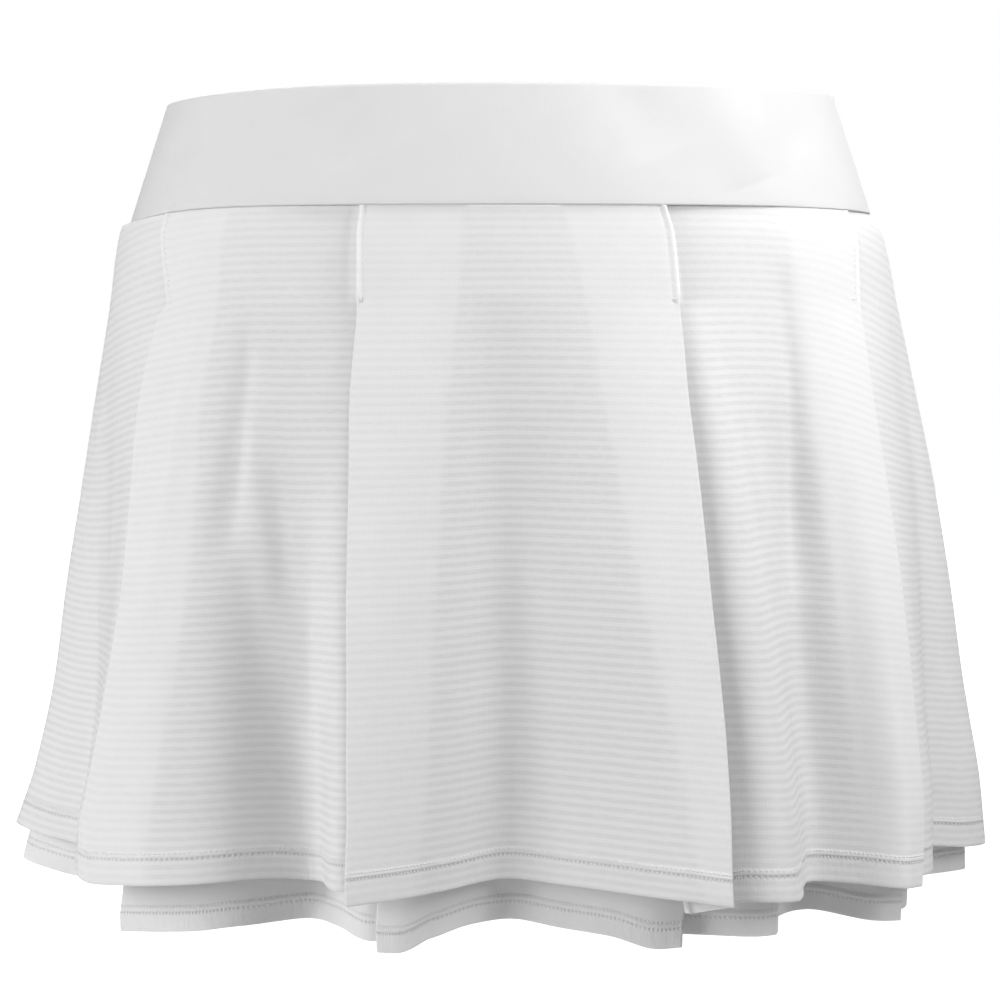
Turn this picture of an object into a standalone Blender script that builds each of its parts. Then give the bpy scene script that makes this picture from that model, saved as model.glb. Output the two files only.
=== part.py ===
"""Tennis skirt, standing hollow as when it is worn.

A smooth knit yoke carries two pleated layers that are sewn into its lower edge. Each layer is a
front and a back joined at the side seams, with eight pleats that face away from the centre front
and the centre back. The centre of the waist's top edge is the origin, +Z is up and the wearer
faces -Y. Sizes are in millimetres and are turned into metres when a mesh is made.

Angles go round the waist in degrees: 0 is the centre front, 90 the side seam on +X, 180 the centre
back and -90 or 270 the other side seam. A lift is how far the cloth stands outside its ring.
"""
import bisect
import math
from collections import namedtuple

import bpy

MM = 0.001

# Cloth and sewing
CLOTH_WALL = 1.0
YOKE_WALL = 2.0
SEAM_GAP = 0.3
EDGE_TILT = 0.55  # rise of the sewn edges, which lie square to the sloping cloth
SEAM_PITCH = 1.5  # from one folded ply to the next where the pleats are sewn in
STITCHED_PITCH = 2.0  # the same at the lower end of the pleats' stitching
HEM_PITCH = 3.5  # the same across a fold at the hem
STITCHED_SHARE = 0.14  # share of a layer's height over which its pleats are stitched down
TURN_POWER = 0.8  # below 1, a fold swings to its hem place early
OPENING_POWER = 1.1  # above 1, folds and waves open late

# Yoke: top edge, lower edge, and how the lower edge dips to the side seams
YOKE_TOP = (139.3, 106.0)
YOKE_BOTTOM = (155.3, 113.5)
YOKE_DEPTH = 47.0
SIDE_DIP = {-1: 7.0, 1: 1.8}
SIDE_DIP_POWER = 8
TOP_DIP = 4.2  # the top edge is this much lower on the -X side
TOP_DIP_POWER = 3

# Rings of the two layers: depth below the waist, half width, half depth, shift towards +X
Section = namedtuple("Section", "drop half_width half_depth shift")
OUTER_SECTIONS = (
    Section(47.3, 155.3, 113.5, 0.0),
    Section(58.0, 162.6, 115.0, 0.5),
    Section(85.0, 168.3, 118.5, 1.5),
    Section(125.0, 175.9, 123.5, 2.6),
    Section(165.0, 182.8, 128.0, 3.7),
    Section(205.0, 188.9, 133.0, 3.9),
    Section(245.0, 193.8, 137.5, 4.2),
    Section(280.0, 200.3, 141.5, 3.6),
    Section(313.0, 207.2, 146.0, 0.0),
)
UNDER_SECTIONS = (
    Section(47.3, 155.3, 113.5, 0.0),
    Section(58.0, 161.8, 114.2, 0.5),
    Section(85.0, 167.1, 116.0, 1.4),
    Section(125.0, 173.7, 117.5, 2.4),
    Section(165.0, 180.1, 119.0, 3.5),
    Section(205.0, 185.9, 120.5, 3.8),
    Section(245.0, 190.4, 122.0, 4.2),
    Section(280.0, 195.5, 123.0, 4.0),
    Section(331.0, 201.0, 124.0, 0.0),
)
OUTER_HEM = 313.0
UNDER_HEM = 331.0

# A pleat: the fold that shows, the inner fold hidden below the top panel, and the hidden ply where
# it passes below the fold that shows. Angles at the seam and at the hem, lifts and drops at the hem.
Pleat = namedtuple(
    "Pleat",
    "name seam_fold seam_inner hem_fold hem_inner hem_under fold_lift inner_lift under_lift "
    "fold_drop inner_drop under_drop",
)
OUTER_PLEATS = (
    Pleat("left side", -60.0, -44.0, -50.0, -39.5, -51.0, 12.0, 2.0, 6.0, 1.0, 0.0, 0.0),
    Pleat("left front", -20.7, -5.1, -14.9, -9.0, -17.0, 20.0, -4.0, 4.0, 2.0, -1.0, -1.0),
    Pleat("right front", 24.5, 8.7, 22.7, 20.3, 25.0, 24.0, 4.0, 16.5, 3.0, 7.4, 2.5),
    Pleat("right side", 66.5, 46.3, 46.8, 42.0, 49.5, 21.5, 3.5, 12.5, 2.0, 0.0, 0.0),
    Pleat("right back side", 113.0, 131.0, 130.0, 141.5, 128.5, 14.0, 2.0, 7.0, 1.0, 0.0, 0.0),
    Pleat("right back", 157.0, 172.5, 163.0, 171.0, 161.5, 19.0, -1.0, 3.0, 2.0, 1.0, 1.0),
    Pleat("left back", 202.5, 187.0, 197.5, 190.0, 199.5, 22.0, -1.0, 4.0, 3.0, 2.0, 2.0),
    Pleat("left back side", 246.0, 229.0, 231.0, 220.5, 232.5, 15.0, 3.0, 8.0, 1.0, 0.0, 0.0),
)
UNDER_PLEATS = (
    Pleat("left side", -60.0, -44.0, -45.5, -36.5, -49.5, 12.0, 1.0, 4.0, 5.5, -4.0, -12.5),
    Pleat("left front", -20.7, -5.1, -12.9, -5.3, -14.4, 12.0, -6.0, 2.5, 7.0, -3.0, 4.5),
    Pleat("right front", 24.5, 8.7, 19.0, 12.9, 20.5, 16.0, -1.0, 7.5, 5.0, -1.0, 1.5),
    Pleat("right side", 66.5, 46.3, 47.9, 40.8, 51.0, 15.5, -1.5, 7.0, 1.5, -3.0, -1.0),
    Pleat("right back side", 113.0, 131.0, 131.0, 141.0, 127.5, 11.0, 0.0, 4.0, 3.0, -2.0, 0.0),
    Pleat("right back", 157.0, 172.5, 165.0, 172.0, 163.5, 11.0, -6.0, 2.0, 5.0, -3.0, 2.0),
    Pleat("left back", 202.5, 187.0, 195.5, 188.5, 197.0, 13.0, -4.5, 4.0, 5.0, -2.0, 2.0),
    Pleat("left back side", 246.0, 229.0, 230.0, 220.5, 233.0, 12.0, 0.5, 4.5, 2.0, -2.0, -1.0),
)

# A wave of the hanging cloth: its line's angle at the seam and at the hem, its lift at the hem
# (a valley's is low or negative), the share of the height where it begins, and its hem's drop
Wave = namedtuple("Wave", "seam hem lift start drop")
OUTER_WAVES = (
    Wave(-90.0, -90.0, 1.5, 0.14, -6.0),
    Wave(-83.0, -83.5, -11.0, 0.14, -3.0),
    Wave(-76.0, -77.1, -24.0, 0.14, -1.0),
    Wave(-68.0, -63.5, -14.0, 0.14, 0.0),
    Wave(-56.0, -47.5, 14.0, 0.14, 2.0),
    Wave(-50.5, -41.5, 13.0, 0.14, 1.0),
    Wave(-45.0, -35.5, 5.0, 0.14, 0.0),
    Wave(-40.0, -29.0, -9.0, 0.14, -1.5),
    Wave(-31.0, -23.5, -24.0, 0.14, 0.5),
    Wave(-5.1, -7.2, 0.5, 0.14, -0.5),
    Wave(1.0, 0.8, -18.0, 0.14, -2.5),
    Wave(8.7, 9.2, -6.0, 0.14, -1.5),
    Wave(18.5, 18.6, 17.0, 0.14, 1.0),
    Wave(26.6, 29.6, 26.0, 0.14, 2.0),
    Wave(36.0, 33.0, 14.0, 0.14, -0.5),
    Wave(43.1, 37.5, 3.5, 0.14, 0.0),
    Wave(50.5, 41.4, 9.0, 0.14, 1.0),
    Wave(59.0, 44.6, 22.5, 0.14, 2.0),
    Wave(74.0, 61.0, -6.0, 0.14, 0.0),
    Wave(79.5, 76.5, -22.0, 0.14, 0.0),
    Wave(84.5, 82.5, -9.0, 0.14, 2.0),
    Wave(90.0, 90.0, 0.0, 0.14, 3.0),
    Wave(96.0, 97.0, -9.0, 0.14, 1.0),
    Wave(101.0, 103.5, -19.0, 0.14, 0.0),
    Wave(106.5, 116.5, -8.0, 0.14, 0.0),
    Wave(119.0, 133.5, 15.0, 0.14, 1.0),
    Wave(131.0, 140.5, 13.5, 0.14, 0.0),
    Wave(140.0, 148.0, -12.0, 0.14, -1.0),
    Wave(148.5, 155.0, -14.0, 0.14, -1.0),
    Wave(172.5, 171.5, 7.0, 0.14, -1.0),
    Wave(180.0, 180.0, -11.0, 0.14, -4.0),
    Wave(187.0, 187.5, 2.0, 0.14, -1.0),
    Wave(196.0, 194.5, 17.0, 0.14, 1.0),
    Wave(211.0, 205.0, 4.0, 0.14, 1.0),
    Wave(220.0, 212.5, -14.0, 0.14, -1.0),
    Wave(229.0, 220.2, 11.0, 0.14, 0.0),
    Wave(238.0, 226.5, 15.0, 0.14, 1.0),
    Wave(253.5, 243.0, -9.0, 0.14, 0.0),
    Wave(259.5, 257.0, -20.0, 0.14, -2.0),
    Wave(264.5, 263.5, -9.0, 0.14, -4.0),
)
UNDER_WAVES = (
    Wave(-90.0, -90.0, 4.5, 0.14, -9.0),
    Wave(-85.5, -84.0, -9.0, 0.14, -5.5),
    Wave(-81.0, -80.0, -20.0, 0.14, -3.5),
    Wave(-75.0, -73.8, -27.0, 0.14, -6.0),
    Wave(-68.0, -60.5, -16.0, 0.14, -9.0),
    Wave(-44.0, -35.2, 9.0, 0.14, 3.0),
    Wave(-37.5, -30.8, 4.0, 0.14, 1.0),
    Wave(-30.5, -24.7, -11.0, 0.2, 0.0),
    Wave(-25.5, -19.5, -6.0, 0.2, 1.0),
    Wave(-14.0, -10.9, 12.5, 0.14, 7.0),
    Wave(-5.1, -7.7, 9.5, 0.14, 2.0),
    Wave(-1.0, -3.4, 1.0, 0.14, -2.0),
    Wave(3.0, 1.2, -5.0, 0.2, -3.0),
    Wave(8.7, 6.5, 0.5, 0.14, -1.0),
    Wave(16.0, 11.7, 8.5, 0.14, 1.0),
    Wave(21.5, 16.5, 15.5, 0.14, 5.5),
    Wave(29.0, 26.0, 19.0, 0.14, 1.5),
    Wave(33.0, 28.8, 24.0, 0.14, 0.5),
    Wave(38.0, 31.2, 9.5, 0.14, -2.5),
    Wave(46.3, 38.1, 3.0, 0.14, -3.5),
    Wave(56.0, 45.0, 13.5, 0.14, 1.0),
    Wave(74.0, 61.0, -14.0, 0.14, -4.0),
    Wave(79.5, 73.5, -27.0, 0.14, -4.0),
    Wave(83.0, 80.0, -20.0, 0.14, -4.0),
    Wave(86.5, 84.5, -11.0, 0.14, -4.0),
    Wave(90.0, 90.0, -2.0, 0.14, -4.0),
    Wave(94.0, 95.5, -11.0, 0.14, -3.0),
    Wave(99.0, 102.0, -25.0, 0.14, -2.0),
    Wave(105.5, 117.0, -15.0, 0.14, 0.0),
    Wave(122.0, 134.5, 12.0, 0.14, 2.0),
    Wave(131.0, 140.5, 8.0, 0.14, 1.0),
    Wave(140.0, 149.0, -10.0, 0.2, -1.0),
    Wave(148.5, 156.5, -8.0, 0.2, 0.0),
    Wave(164.0, 168.0, 10.0, 0.14, 3.0),
    Wave(172.5, 174.0, 3.0, 0.14, 0.0),
    Wave(180.0, 180.5, -6.0, 0.2, -2.0),
    Wave(187.0, 187.5, 4.0, 0.14, 0.0),
    Wave(211.0, 203.5, 6.0, 0.2, 1.0),
    Wave(220.0, 211.0, -12.0, 0.2, -1.0),
    Wave(229.0, 220.0, 8.0, 0.14, 1.0),
    Wave(238.0, 226.0, 12.0, 0.14, 2.0),
    Wave(254.0, 243.0, -15.0, 0.14, -3.0),
    Wave(260.0, 257.0, -26.0, 0.14, -7.0),
    Wave(265.0, 264.0, -12.0, 0.14, -10.0),
)
UNDER_FIRST_PLY = 3  # the under layer starts inside the outer layer's three plies

# How far the outer layer's cloth swings aside on its way down, in degrees, at these shares of its
# height, for the line that starts at an angle at the seam. Between these lines it is blended.
SWAY_SHARES = (0.0, 0.14, 0.3, 0.55, 0.75, 0.9, 1.0)
Sway = namedtuple("Sway", "seam at_seam stitched third middle knee low hem")
OUTER_SWAYS = (
    Sway(-90.0, 0.0, 0.0, 0.0, 0.0, 0.0, 0.0, 0.0),
    Sway(-60.0, 0.5, 0.8, -0.9, 0.0, -2.1, -2.7, 0.0),
    Sway(-20.7, 0.3, -0.3, -1.4, -1.6, -1.5, -0.9, 0.0),
    Sway(24.5, 0.0, -0.1, -0.5, -0.4, -0.1, -0.3, 0.0),
    Sway(66.5, -1.5, -3.2, -3.1, -1.5, -0.3, 0.0, 0.0),
    Sway(90.0, 0.0, 0.0, 0.0, 0.0, 0.0, 0.0, 0.0),
)

# How finely the cloth is divided
ROWS = (0.0, 0.035, 0.14, 0.28, 0.43, 0.58, 0.72, 0.86, 1.0)
YOKE_ROWS = (0.0, 0.25, 0.5, 0.75, 1.0)
YOKE_STEPS = 28
SPAN_STEPS = 2  # along the hidden ply of a pleat
FOLD_STEPS = 3  # round the half turn of a fold
NARROW_SPAN = 4.0  # lines closer than this at the hem have no point between them
SIDE_STRIP = 0.12  # share of a span, beside a side seam, where both pieces lie in one plane

SIDE_SEAMS = (-90.0, 90.0, 270.0)

WHITE = (0.86, 0.86, 0.87, 1.0)
YOKE_ROUGHNESS = 0.55
OUTER_ROUGHNESS = 0.7
UNDER_ROUGHNESS = 0.65

# A line of cloth from the seam to the hem
Line = namedtuple("Line", "seam hem ply lift start drop")


def smooth(x, xs, ys):
    """Value at x of a curve through the points (xs, ys) that never overshoots them."""
    if x <= xs[0]:
        return ys[0]
    if x >= xs[-1]:
        return ys[-1]
    i = bisect.bisect_right(xs, x) - 1
    widths = [b - a for a, b in zip(xs, xs[1:])]
    slopes = [(b - a) / w for a, b, w in zip(ys, ys[1:], widths)]

    def tangent(k):
        if k == 0:
            return slopes[0]
        if k == len(slopes):
            return slopes[-1]
        if slopes[k - 1] * slopes[k] <= 0.0:
            return 0.0
        return 2.0 * slopes[k - 1] * slopes[k] / (slopes[k - 1] + slopes[k])

    u = (x - xs[i]) / widths[i]
    start = (1.0 + 2.0 * u) * (1.0 - u) ** 2 * ys[i]
    end = u * u * (3.0 - 2.0 * u) * ys[i + 1]
    lean = widths[i] * u * (1.0 - u) * ((1.0 - u) * tangent(i) - u * tangent(i + 1))
    return start + end + lean


def broken_line(x, xs, ys):
    """Value at x of straight stretches between the points (xs, ys)."""
    for x0, x1, y0, y1 in zip(xs, xs[1:], ys, ys[1:]):
        if x <= x1:
            return y0 + (y1 - y0) * (x - x0) / (x1 - x0)
    return ys[-1]


def mix(a, b, share):
    """The value a share of the way from a to b."""
    return a + (b - a) * share


def seam_drop(angle):
    """Depth of the yoke's lower edge, which dips towards the side seams."""
    across = math.sin(math.radians(angle))
    return YOKE_DEPTH + SIDE_DIP[1 if across > 0.0 else -1] * abs(across) ** SIDE_DIP_POWER


def place(angle, lift, half_width, half_depth, drop, shift):
    """A point of the ring at an angle, moved out by the lift."""
    across = (half_width + lift) * math.sin(math.radians(angle))
    along = -(half_depth + lift) * math.cos(math.radians(angle))
    return (across + shift, along, -drop)


class Layer:
    """One pleated layer: panels of cloth lines, joined by folds."""

    def __init__(self, sections, pleats, waves, sways, first_ply, hem):
        self.drops = [s.drop for s in sections]
        self.half_widths = [s.half_width for s in sections]
        self.half_depths = [s.half_depth for s in sections]
        self.shifts = [s.shift for s in sections]
        self.pleats = pleats
        self.sways = sways
        self.first_ply = first_ply
        self.hem = hem
        self.panels = [self.panel(i, waves) for i in range(len(pleats))]

    def panel(self, i, waves):
        """The lines of the panel between pleat i and the next one, in the order of their angles."""
        before = self.pleats[i]
        after = self.pleats[(i + 1) % len(self.pleats)]
        turn = 360.0 if i + 1 == len(self.pleats) else 0.0
        top, bottom = self.first_ply, self.first_ply + 2
        if before.seam_inner > before.seam_fold:
            lines = [self.fold_line(before, top, 0.0)]
            knots = [(before.seam_fold, top), (before.seam_inner, top)]
        else:
            lines = [self.inner_line(before, bottom, 0.0), self.under_line(before, bottom, 0.0)]
            knots = [(before.seam_inner, bottom), (before.seam_fold, bottom)]
        if after.seam_inner > after.seam_fold:
            lines += [self.under_line(after, bottom, turn), self.inner_line(after, bottom, turn)]
            knots += [(after.seam_fold + turn, bottom), (after.seam_inner + turn, bottom)]
        else:
            lines.append(self.fold_line(after, top, turn))
            knots += [(after.seam_inner + turn, top), (after.seam_fold + turn, top)]
        for wave in waves:
            shift = turn if wave.seam < before.seam_fold else 0.0
            seam = wave.seam + shift
            if before.seam_fold < seam < after.seam_fold + turn:
                ply = broken_line(seam, *zip(*knots))
                lines.append(Line(seam, wave.hem + shift, ply, wave.lift, wave.start, wave.drop))
        return sorted(lines, key=lambda line: line.seam)

    @staticmethod
    def fold_line(pleat, ply, turn):
        return Line(pleat.seam_fold + turn, pleat.hem_fold + turn, ply, pleat.fold_lift,
                    STITCHED_SHARE, pleat.fold_drop)

    @staticmethod
    def inner_line(pleat, ply, turn):
        return Line(pleat.seam_inner + turn, pleat.hem_inner + turn, ply, pleat.inner_lift,
                    STITCHED_SHARE, pleat.inner_drop)

    @staticmethod
    def under_line(pleat, ply, turn):
        return Line(pleat.seam_fold + turn, pleat.hem_under + turn, ply, pleat.under_lift,
                    STITCHED_SHARE, pleat.under_drop)

    def height(self, seam_angle, hem_drop, share):
        """Depth below the waist of a point a share of the way down its line."""
        top = seam_drop(seam_angle) + SEAM_GAP + EDGE_TILT
        return mix(top, self.hem + hem_drop, share)

    def point(self, angle, lift, seam_angle, hem_drop, share):
        drop = self.height(seam_angle, hem_drop, share)
        half_width = smooth(drop, self.drops, self.half_widths)
        half_depth = smooth(drop, self.drops, self.half_depths)
        shift = smooth(drop, self.drops, self.shifts)
        return place(angle, lift, half_width, half_depth, drop, shift)

    def sway(self, seam_angle, share):
        """Degrees that a line has swung aside a share of the way down."""
        if not self.sways:
            return 0.0
        seams = [sway.seam for sway in self.sways]
        swings = [smooth(share, SWAY_SHARES, sway[1:]) for sway in self.sways]
        return smooth((seam_angle + 180.0) % 360.0 - 180.0, seams, swings)

    def line_at(self, line, share):
        """Angle and lift of a line a share of the way down."""
        angle = mix(line.seam, line.hem, share ** TURN_POWER) + self.sway(line.seam, share)
        stitched = min(share / STITCHED_SHARE, 1.0)
        sewn_lift = -line.ply * mix(SEAM_PITCH, STITCHED_PITCH, stitched)
        opening = max(0.0, (share - line.start) / (1.0 - line.start)) ** OPENING_POWER
        return angle, mix(sewn_lift, line.lift, opening)

    def panel_points(self, lines, share, first, last):
        """Points along a panel between its lines number first and last."""
        states = [self.line_at(line, share) for line in lines]
        angles = [s[0] for s in states]
        lifts = [s[1] for s in states]
        seams = [line.seam for line in lines]
        drops = [line.drop for line in lines]
        points = []
        for i in range(first, last):
            for part in self.span_parts(lines[i], lines[i + 1]):
                points.append(self.panel_point(angles, lifts, seams, drops, i, part, share))
        points.append(self.panel_point(angles, lifts, seams, drops, last - 1, 1.0, share))
        return points

    @staticmethod
    def span_parts(line, after):
        """Where the points of a span lie, as shares of the way from its line to the one after."""
        if line.seam in SIDE_SEAMS:
            return (0.0, SIDE_STRIP, 0.5)
        if after.seam in SIDE_SEAMS:
            return (0.0, 0.5, 1.0 - SIDE_STRIP)
        if abs(after.hem - line.hem) < NARROW_SPAN:
            return (0.0,)
        return (0.0, 0.5)

    def panel_point(self, angles, lifts, seams, drops, i, part, share):
        angle = mix(angles[i], angles[i + 1], part)
        seam_angle = mix(seams[i], seams[i + 1], part)
        hem_drop = smooth(seam_angle, seams, drops)
        return self.point(angle, smooth(angle, angles, lifts), seam_angle, hem_drop, share)

    def middle_points(self, pleat, share):
        """The hidden middle ply of a pleat, from its inner fold to the fold that shows."""
        fold = self.fold_line(pleat, self.first_ply + 1, 0.0)
        fold = fold._replace(lift=pleat.fold_lift - HEM_PITCH)
        inner = self.inner_line(pleat, self.first_ply + 1, 0.0)
        inner = inner._replace(lift=pleat.inner_lift + HEM_PITCH)
        (angle0, lift0), (angle1, lift1) = self.line_at(inner, share), self.line_at(fold, share)
        points = []
        for step in range(SPAN_STEPS + 1):
            part = step / SPAN_STEPS
            points.append(self.point(
                mix(angle0, angle1, part), mix(lift0, lift1, part),
                mix(inner.seam, fold.seam, part), mix(inner.drop, fold.drop, part), share))
        return points

    def ring(self, share):
        """All points round the layer from the -90 side seam, and where the other side seam is."""
        loop = []
        last = self.panels[-1]
        cut = [line.seam for line in last].index(270.0)
        loop += self.panel_points(last, share, cut, len(last) - 1)
        split = None
        for panel, pleat in zip(self.panels, self.pleats):
            loop = self.join(loop, pleat, share)
            angles = [line.seam for line in panel]
            if 90.0 in angles:
                half = angles.index(90.0)
                loop += self.panel_points(panel, share, 0, half)
                split = len(loop)
                loop += self.panel_points(panel, share, half, len(panel) - 1)
            elif panel is last:
                loop += self.panel_points(panel, share, 0, cut)
            else:
                loop += self.panel_points(panel, share, 0, len(panel) - 1)
        return loop, split

    def join(self, loop, pleat, share):
        """Adds a pleat's hidden ply and the arcs of its two folds after the panel that ends there."""
        middle = self.middle_points(pleat, share)
        if pleat.seam_inner < pleat.seam_fold:
            middle.reverse()
        loop = loop + fold_arc(loop[-2], loop[-1], middle[0]) + middle
        start = self.panels[self.pleats.index(pleat)]
        first = self.panel_points(start, share, 0, 1)[0]
        return loop + fold_arc(middle[-2], middle[-1], first)


def fold_arc(before, start, end):
    """Half a turn of cloth from start to end, round the far side of the way before goes to start."""
    centre = [(a + b) / 2.0 for a, b in zip(start, end)]
    spoke = [(a - b) / 2.0 for a, b in zip(start, end)]
    radius = math.hypot(spoke[0], spoke[1])
    ahead = (spoke[1] / radius, -spoke[0] / radius)
    if ahead[0] * (start[0] - before[0]) + ahead[1] * (start[1] - before[1]) < 0.0:
        ahead = (-ahead[0], -ahead[1])
    points = []
    for step in range(1, FOLD_STEPS):
        turn = math.pi * step / FOLD_STEPS
        points.append((
            centre[0] + spoke[0] * math.cos(turn) + ahead[0] * radius * math.sin(turn),
            centre[1] + spoke[1] * math.cos(turn) + ahead[1] * radius * math.sin(turn),
            centre[2] + spoke[2] * math.cos(turn)))
    return points


def open_gap(points):
    """Moves both ends of a row of points in by half the gap of a sewn seam."""
    points = list(points)
    for end, beside in ((0, 1), (-1, -2)):
        x0, y0, z0 = points[end]
        x1, y1, z1 = points[beside]
        share = SEAM_GAP / 2.0 / math.dist(points[end], points[beside])
        points[end] = (mix(x0, x1, share), mix(y0, y1, share), mix(z0, z1, share))
    return points


def yoke_row(share, first, last):
    """A row of the yoke from one side seam to the other."""
    half_width = mix(YOKE_TOP[0], YOKE_BOTTOM[0], share)
    half_depth = mix(YOKE_TOP[1], YOKE_BOTTOM[1], share)
    points = []
    for step in range(YOKE_STEPS + 1):
        angle = mix(first, last, step / YOKE_STEPS)
        lean = max(0.0, -math.sin(math.radians(angle))) ** TOP_DIP_POWER
        drop = mix(TOP_DIP * lean, seam_drop(angle), share)
        points.append(place(angle, 0.0, half_width, half_depth, drop, 0.0))
    return open_gap(points)


def make_sheet(name, rows, wall, material, collection):
    """A sheet of cloth through rows of points, given its thickness."""
    vertices = [tuple(c * MM for c in point) for row in rows for point in row]
    width = len(rows[0])
    faces = []
    for r in range(len(rows) - 1):
        for c in range(width - 1):
            corner = r * width + c
            faces.append((corner, corner + width, corner + width + 1, corner + 1))
    mesh = bpy.data.meshes.new(name)
    mesh.from_pydata(vertices, [], faces)
    mesh.materials.append(material)
    mesh.shade_smooth()
    sheet = bpy.data.objects.new(name, mesh)
    collection.objects.link(sheet)
    solidify = sheet.modifiers.new("Cloth", "SOLIDIFY")
    solidify.thickness = wall * MM
    solidify.offset = 0.0
    solidify.use_even_offset = True
    return sheet


def cloth_material(name, colour, roughness):
    material = bpy.data.materials.new(name)
    material.use_nodes = True
    shader = material.node_tree.nodes["Principled BSDF"]
    shader.inputs["Base Color"].default_value = colour
    shader.inputs["Roughness"].default_value = roughness
    shader.inputs["Metallic"].default_value = 0.0
    return material


def clear_scene():
    for old in list(bpy.data.objects):
        bpy.data.objects.remove(old, do_unlink=True)


def build_yoke(collection):
    for name, first, last in (("yoke_front", -90.0, 90.0), ("yoke_back", 90.0, 270.0)):
        rows = [yoke_row(share, first, last) for share in YOKE_ROWS]
        material = cloth_material(name + "_knit", WHITE, YOKE_ROUGHNESS)
        make_sheet(name, rows, YOKE_WALL, material, collection)


def build_layer(name, layer, roughness, collection):
    front = []
    back = []
    for share in ROWS:
        ring, split = layer.ring(share)
        front.append(open_gap(ring[:split]))
        back.append(open_gap(ring[split:]))
    for side, rows in (("front", front), ("back", back)):
        material = cloth_material(f"{name}_{side}_cloth", WHITE, roughness)
        make_sheet(f"{name}_{side}", rows, CLOTH_WALL, material, collection)


def build():
    clear_scene()
    collection = bpy.data.collections.new("tennis_skirt")
    bpy.context.scene.collection.children.link(collection)
    build_yoke(collection)
    outer = Layer(OUTER_SECTIONS, OUTER_PLEATS, OUTER_WAVES, OUTER_SWAYS, 0, OUTER_HEM)
    under = Layer(UNDER_SECTIONS, UNDER_PLEATS, UNDER_WAVES, (), UNDER_FIRST_PLY, UNDER_HEM)
    build_layer("outer", outer, OUTER_ROUGHNESS, collection)
    build_layer("under", under, UNDER_ROUGHNESS, collection)


build()
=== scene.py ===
import math
from collections import namedtuple

import bpy
import numpy as np
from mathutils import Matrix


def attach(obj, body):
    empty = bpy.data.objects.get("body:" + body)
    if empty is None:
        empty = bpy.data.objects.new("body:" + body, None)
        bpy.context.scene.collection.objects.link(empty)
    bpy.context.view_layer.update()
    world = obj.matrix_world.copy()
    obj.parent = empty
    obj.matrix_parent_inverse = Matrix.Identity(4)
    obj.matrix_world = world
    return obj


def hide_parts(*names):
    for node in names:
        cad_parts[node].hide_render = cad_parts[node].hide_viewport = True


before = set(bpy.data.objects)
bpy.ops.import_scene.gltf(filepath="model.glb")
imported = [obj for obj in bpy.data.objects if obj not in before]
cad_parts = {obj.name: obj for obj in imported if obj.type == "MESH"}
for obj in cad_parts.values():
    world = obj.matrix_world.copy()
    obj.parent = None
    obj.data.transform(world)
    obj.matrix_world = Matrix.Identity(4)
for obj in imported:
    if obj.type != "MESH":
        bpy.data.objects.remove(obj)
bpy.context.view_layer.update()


# ---------------------------------------------------------------------------------------------
# The set: a round pale floor one metre below the waist, as far as the floor is below a skirt
# that is worn, white all round, and softboxes. The key stands close and high at the wearer's
# left, larger ones stand at the wearer's right, and one stands behind.
# ---------------------------------------------------------------------------------------------
FLOOR_RADIUS = 14.0
FLOOR_DROP = 1.0
FOCAL_LENGTH = 126.0
SENSOR_WIDTH = 36.0
CAMERA_PLACE = (0.0, -1.484, -0.0774)
CAMERA_PITCH = -3.556
SURROUND = 0.149  # how strongly the white surroundings light the cloth
FLOOR_GLOW = (0.164, 1.2)  # how strongly it lights the cloth, and how bright it looks
WHITE = (1.0, 1.0, 1.0, 1.0)
LIGHTS_AIM = (0.0, 0.0, -0.15)  # where all the softboxes point


def fill(node, inputs):
    """Joins or sets a node's inputs."""
    for socket, value in inputs.items():
        if isinstance(value, bpy.types.NodeSocket):
            node.id_data.links.new(value, node.inputs[socket])
        else:
            node.inputs[socket].default_value = value


def make(tree, kind, inputs=None, **settings):
    """Adds a node of a kind with these settings and inputs, and returns its first output."""
    node = tree.nodes.new(kind)
    for setting, value in settings.items():
        setattr(node, setting, value)
    fill(node, inputs or {})
    return node.outputs[0]


bpy.ops.object.select_all(action="DESELECT")
camera_data = bpy.data.cameras.new("camera")
camera_data.lens = FOCAL_LENGTH
camera_data.sensor_width = SENSOR_WIDTH
camera = bpy.data.objects.new("camera", camera_data)
bpy.context.scene.collection.objects.link(camera)
camera.location = CAMERA_PLACE
camera.rotation_euler = (math.radians(90.0 + CAMERA_PITCH), 0.0, 0.0)
bpy.context.scene.camera = camera
bpy.context.scene.view_settings.view_transform = "Standard"

bpy.ops.mesh.primitive_circle_add(vertices=96, radius=FLOOR_RADIUS, fill_type="NGON",
                                  location=(0.0, 0.0, -FLOOR_DROP))
floor = bpy.context.object
floor.name = "floor"
bpy.ops.object.transform_apply(location=True)
floor_paint = bpy.data.materials.new("pale floor")
floor_paint.use_nodes = True
tree = floor_paint.node_tree
paint = tree.nodes["Principled BSDF"]
camera_ray = make(tree, "ShaderNodeLightPath")
glow = {"Value": camera_ray, "To Min": FLOOR_GLOW[0], "To Max": FLOOR_GLOW[1]}
fill(paint, {"Base Color": (0.85, 0.85, 0.85, 1.0), "Roughness": 0.9, "Emission Color": WHITE,
             "Emission Strength": make(tree, "ShaderNodeMapRange", glow)})
underside = tree.nodes.new("ShaderNodeNewGeometry").outputs["Backfacing"]
clear = make(tree, "ShaderNodeBsdfTransparent")
either = make(tree, "ShaderNodeMixShader", {"Fac": underside, 1: paint.outputs["BSDF"], 2: clear})
fill(tree.nodes["Material Output"], {"Surface": either})
floor.data.materials.append(floor_paint)

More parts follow.
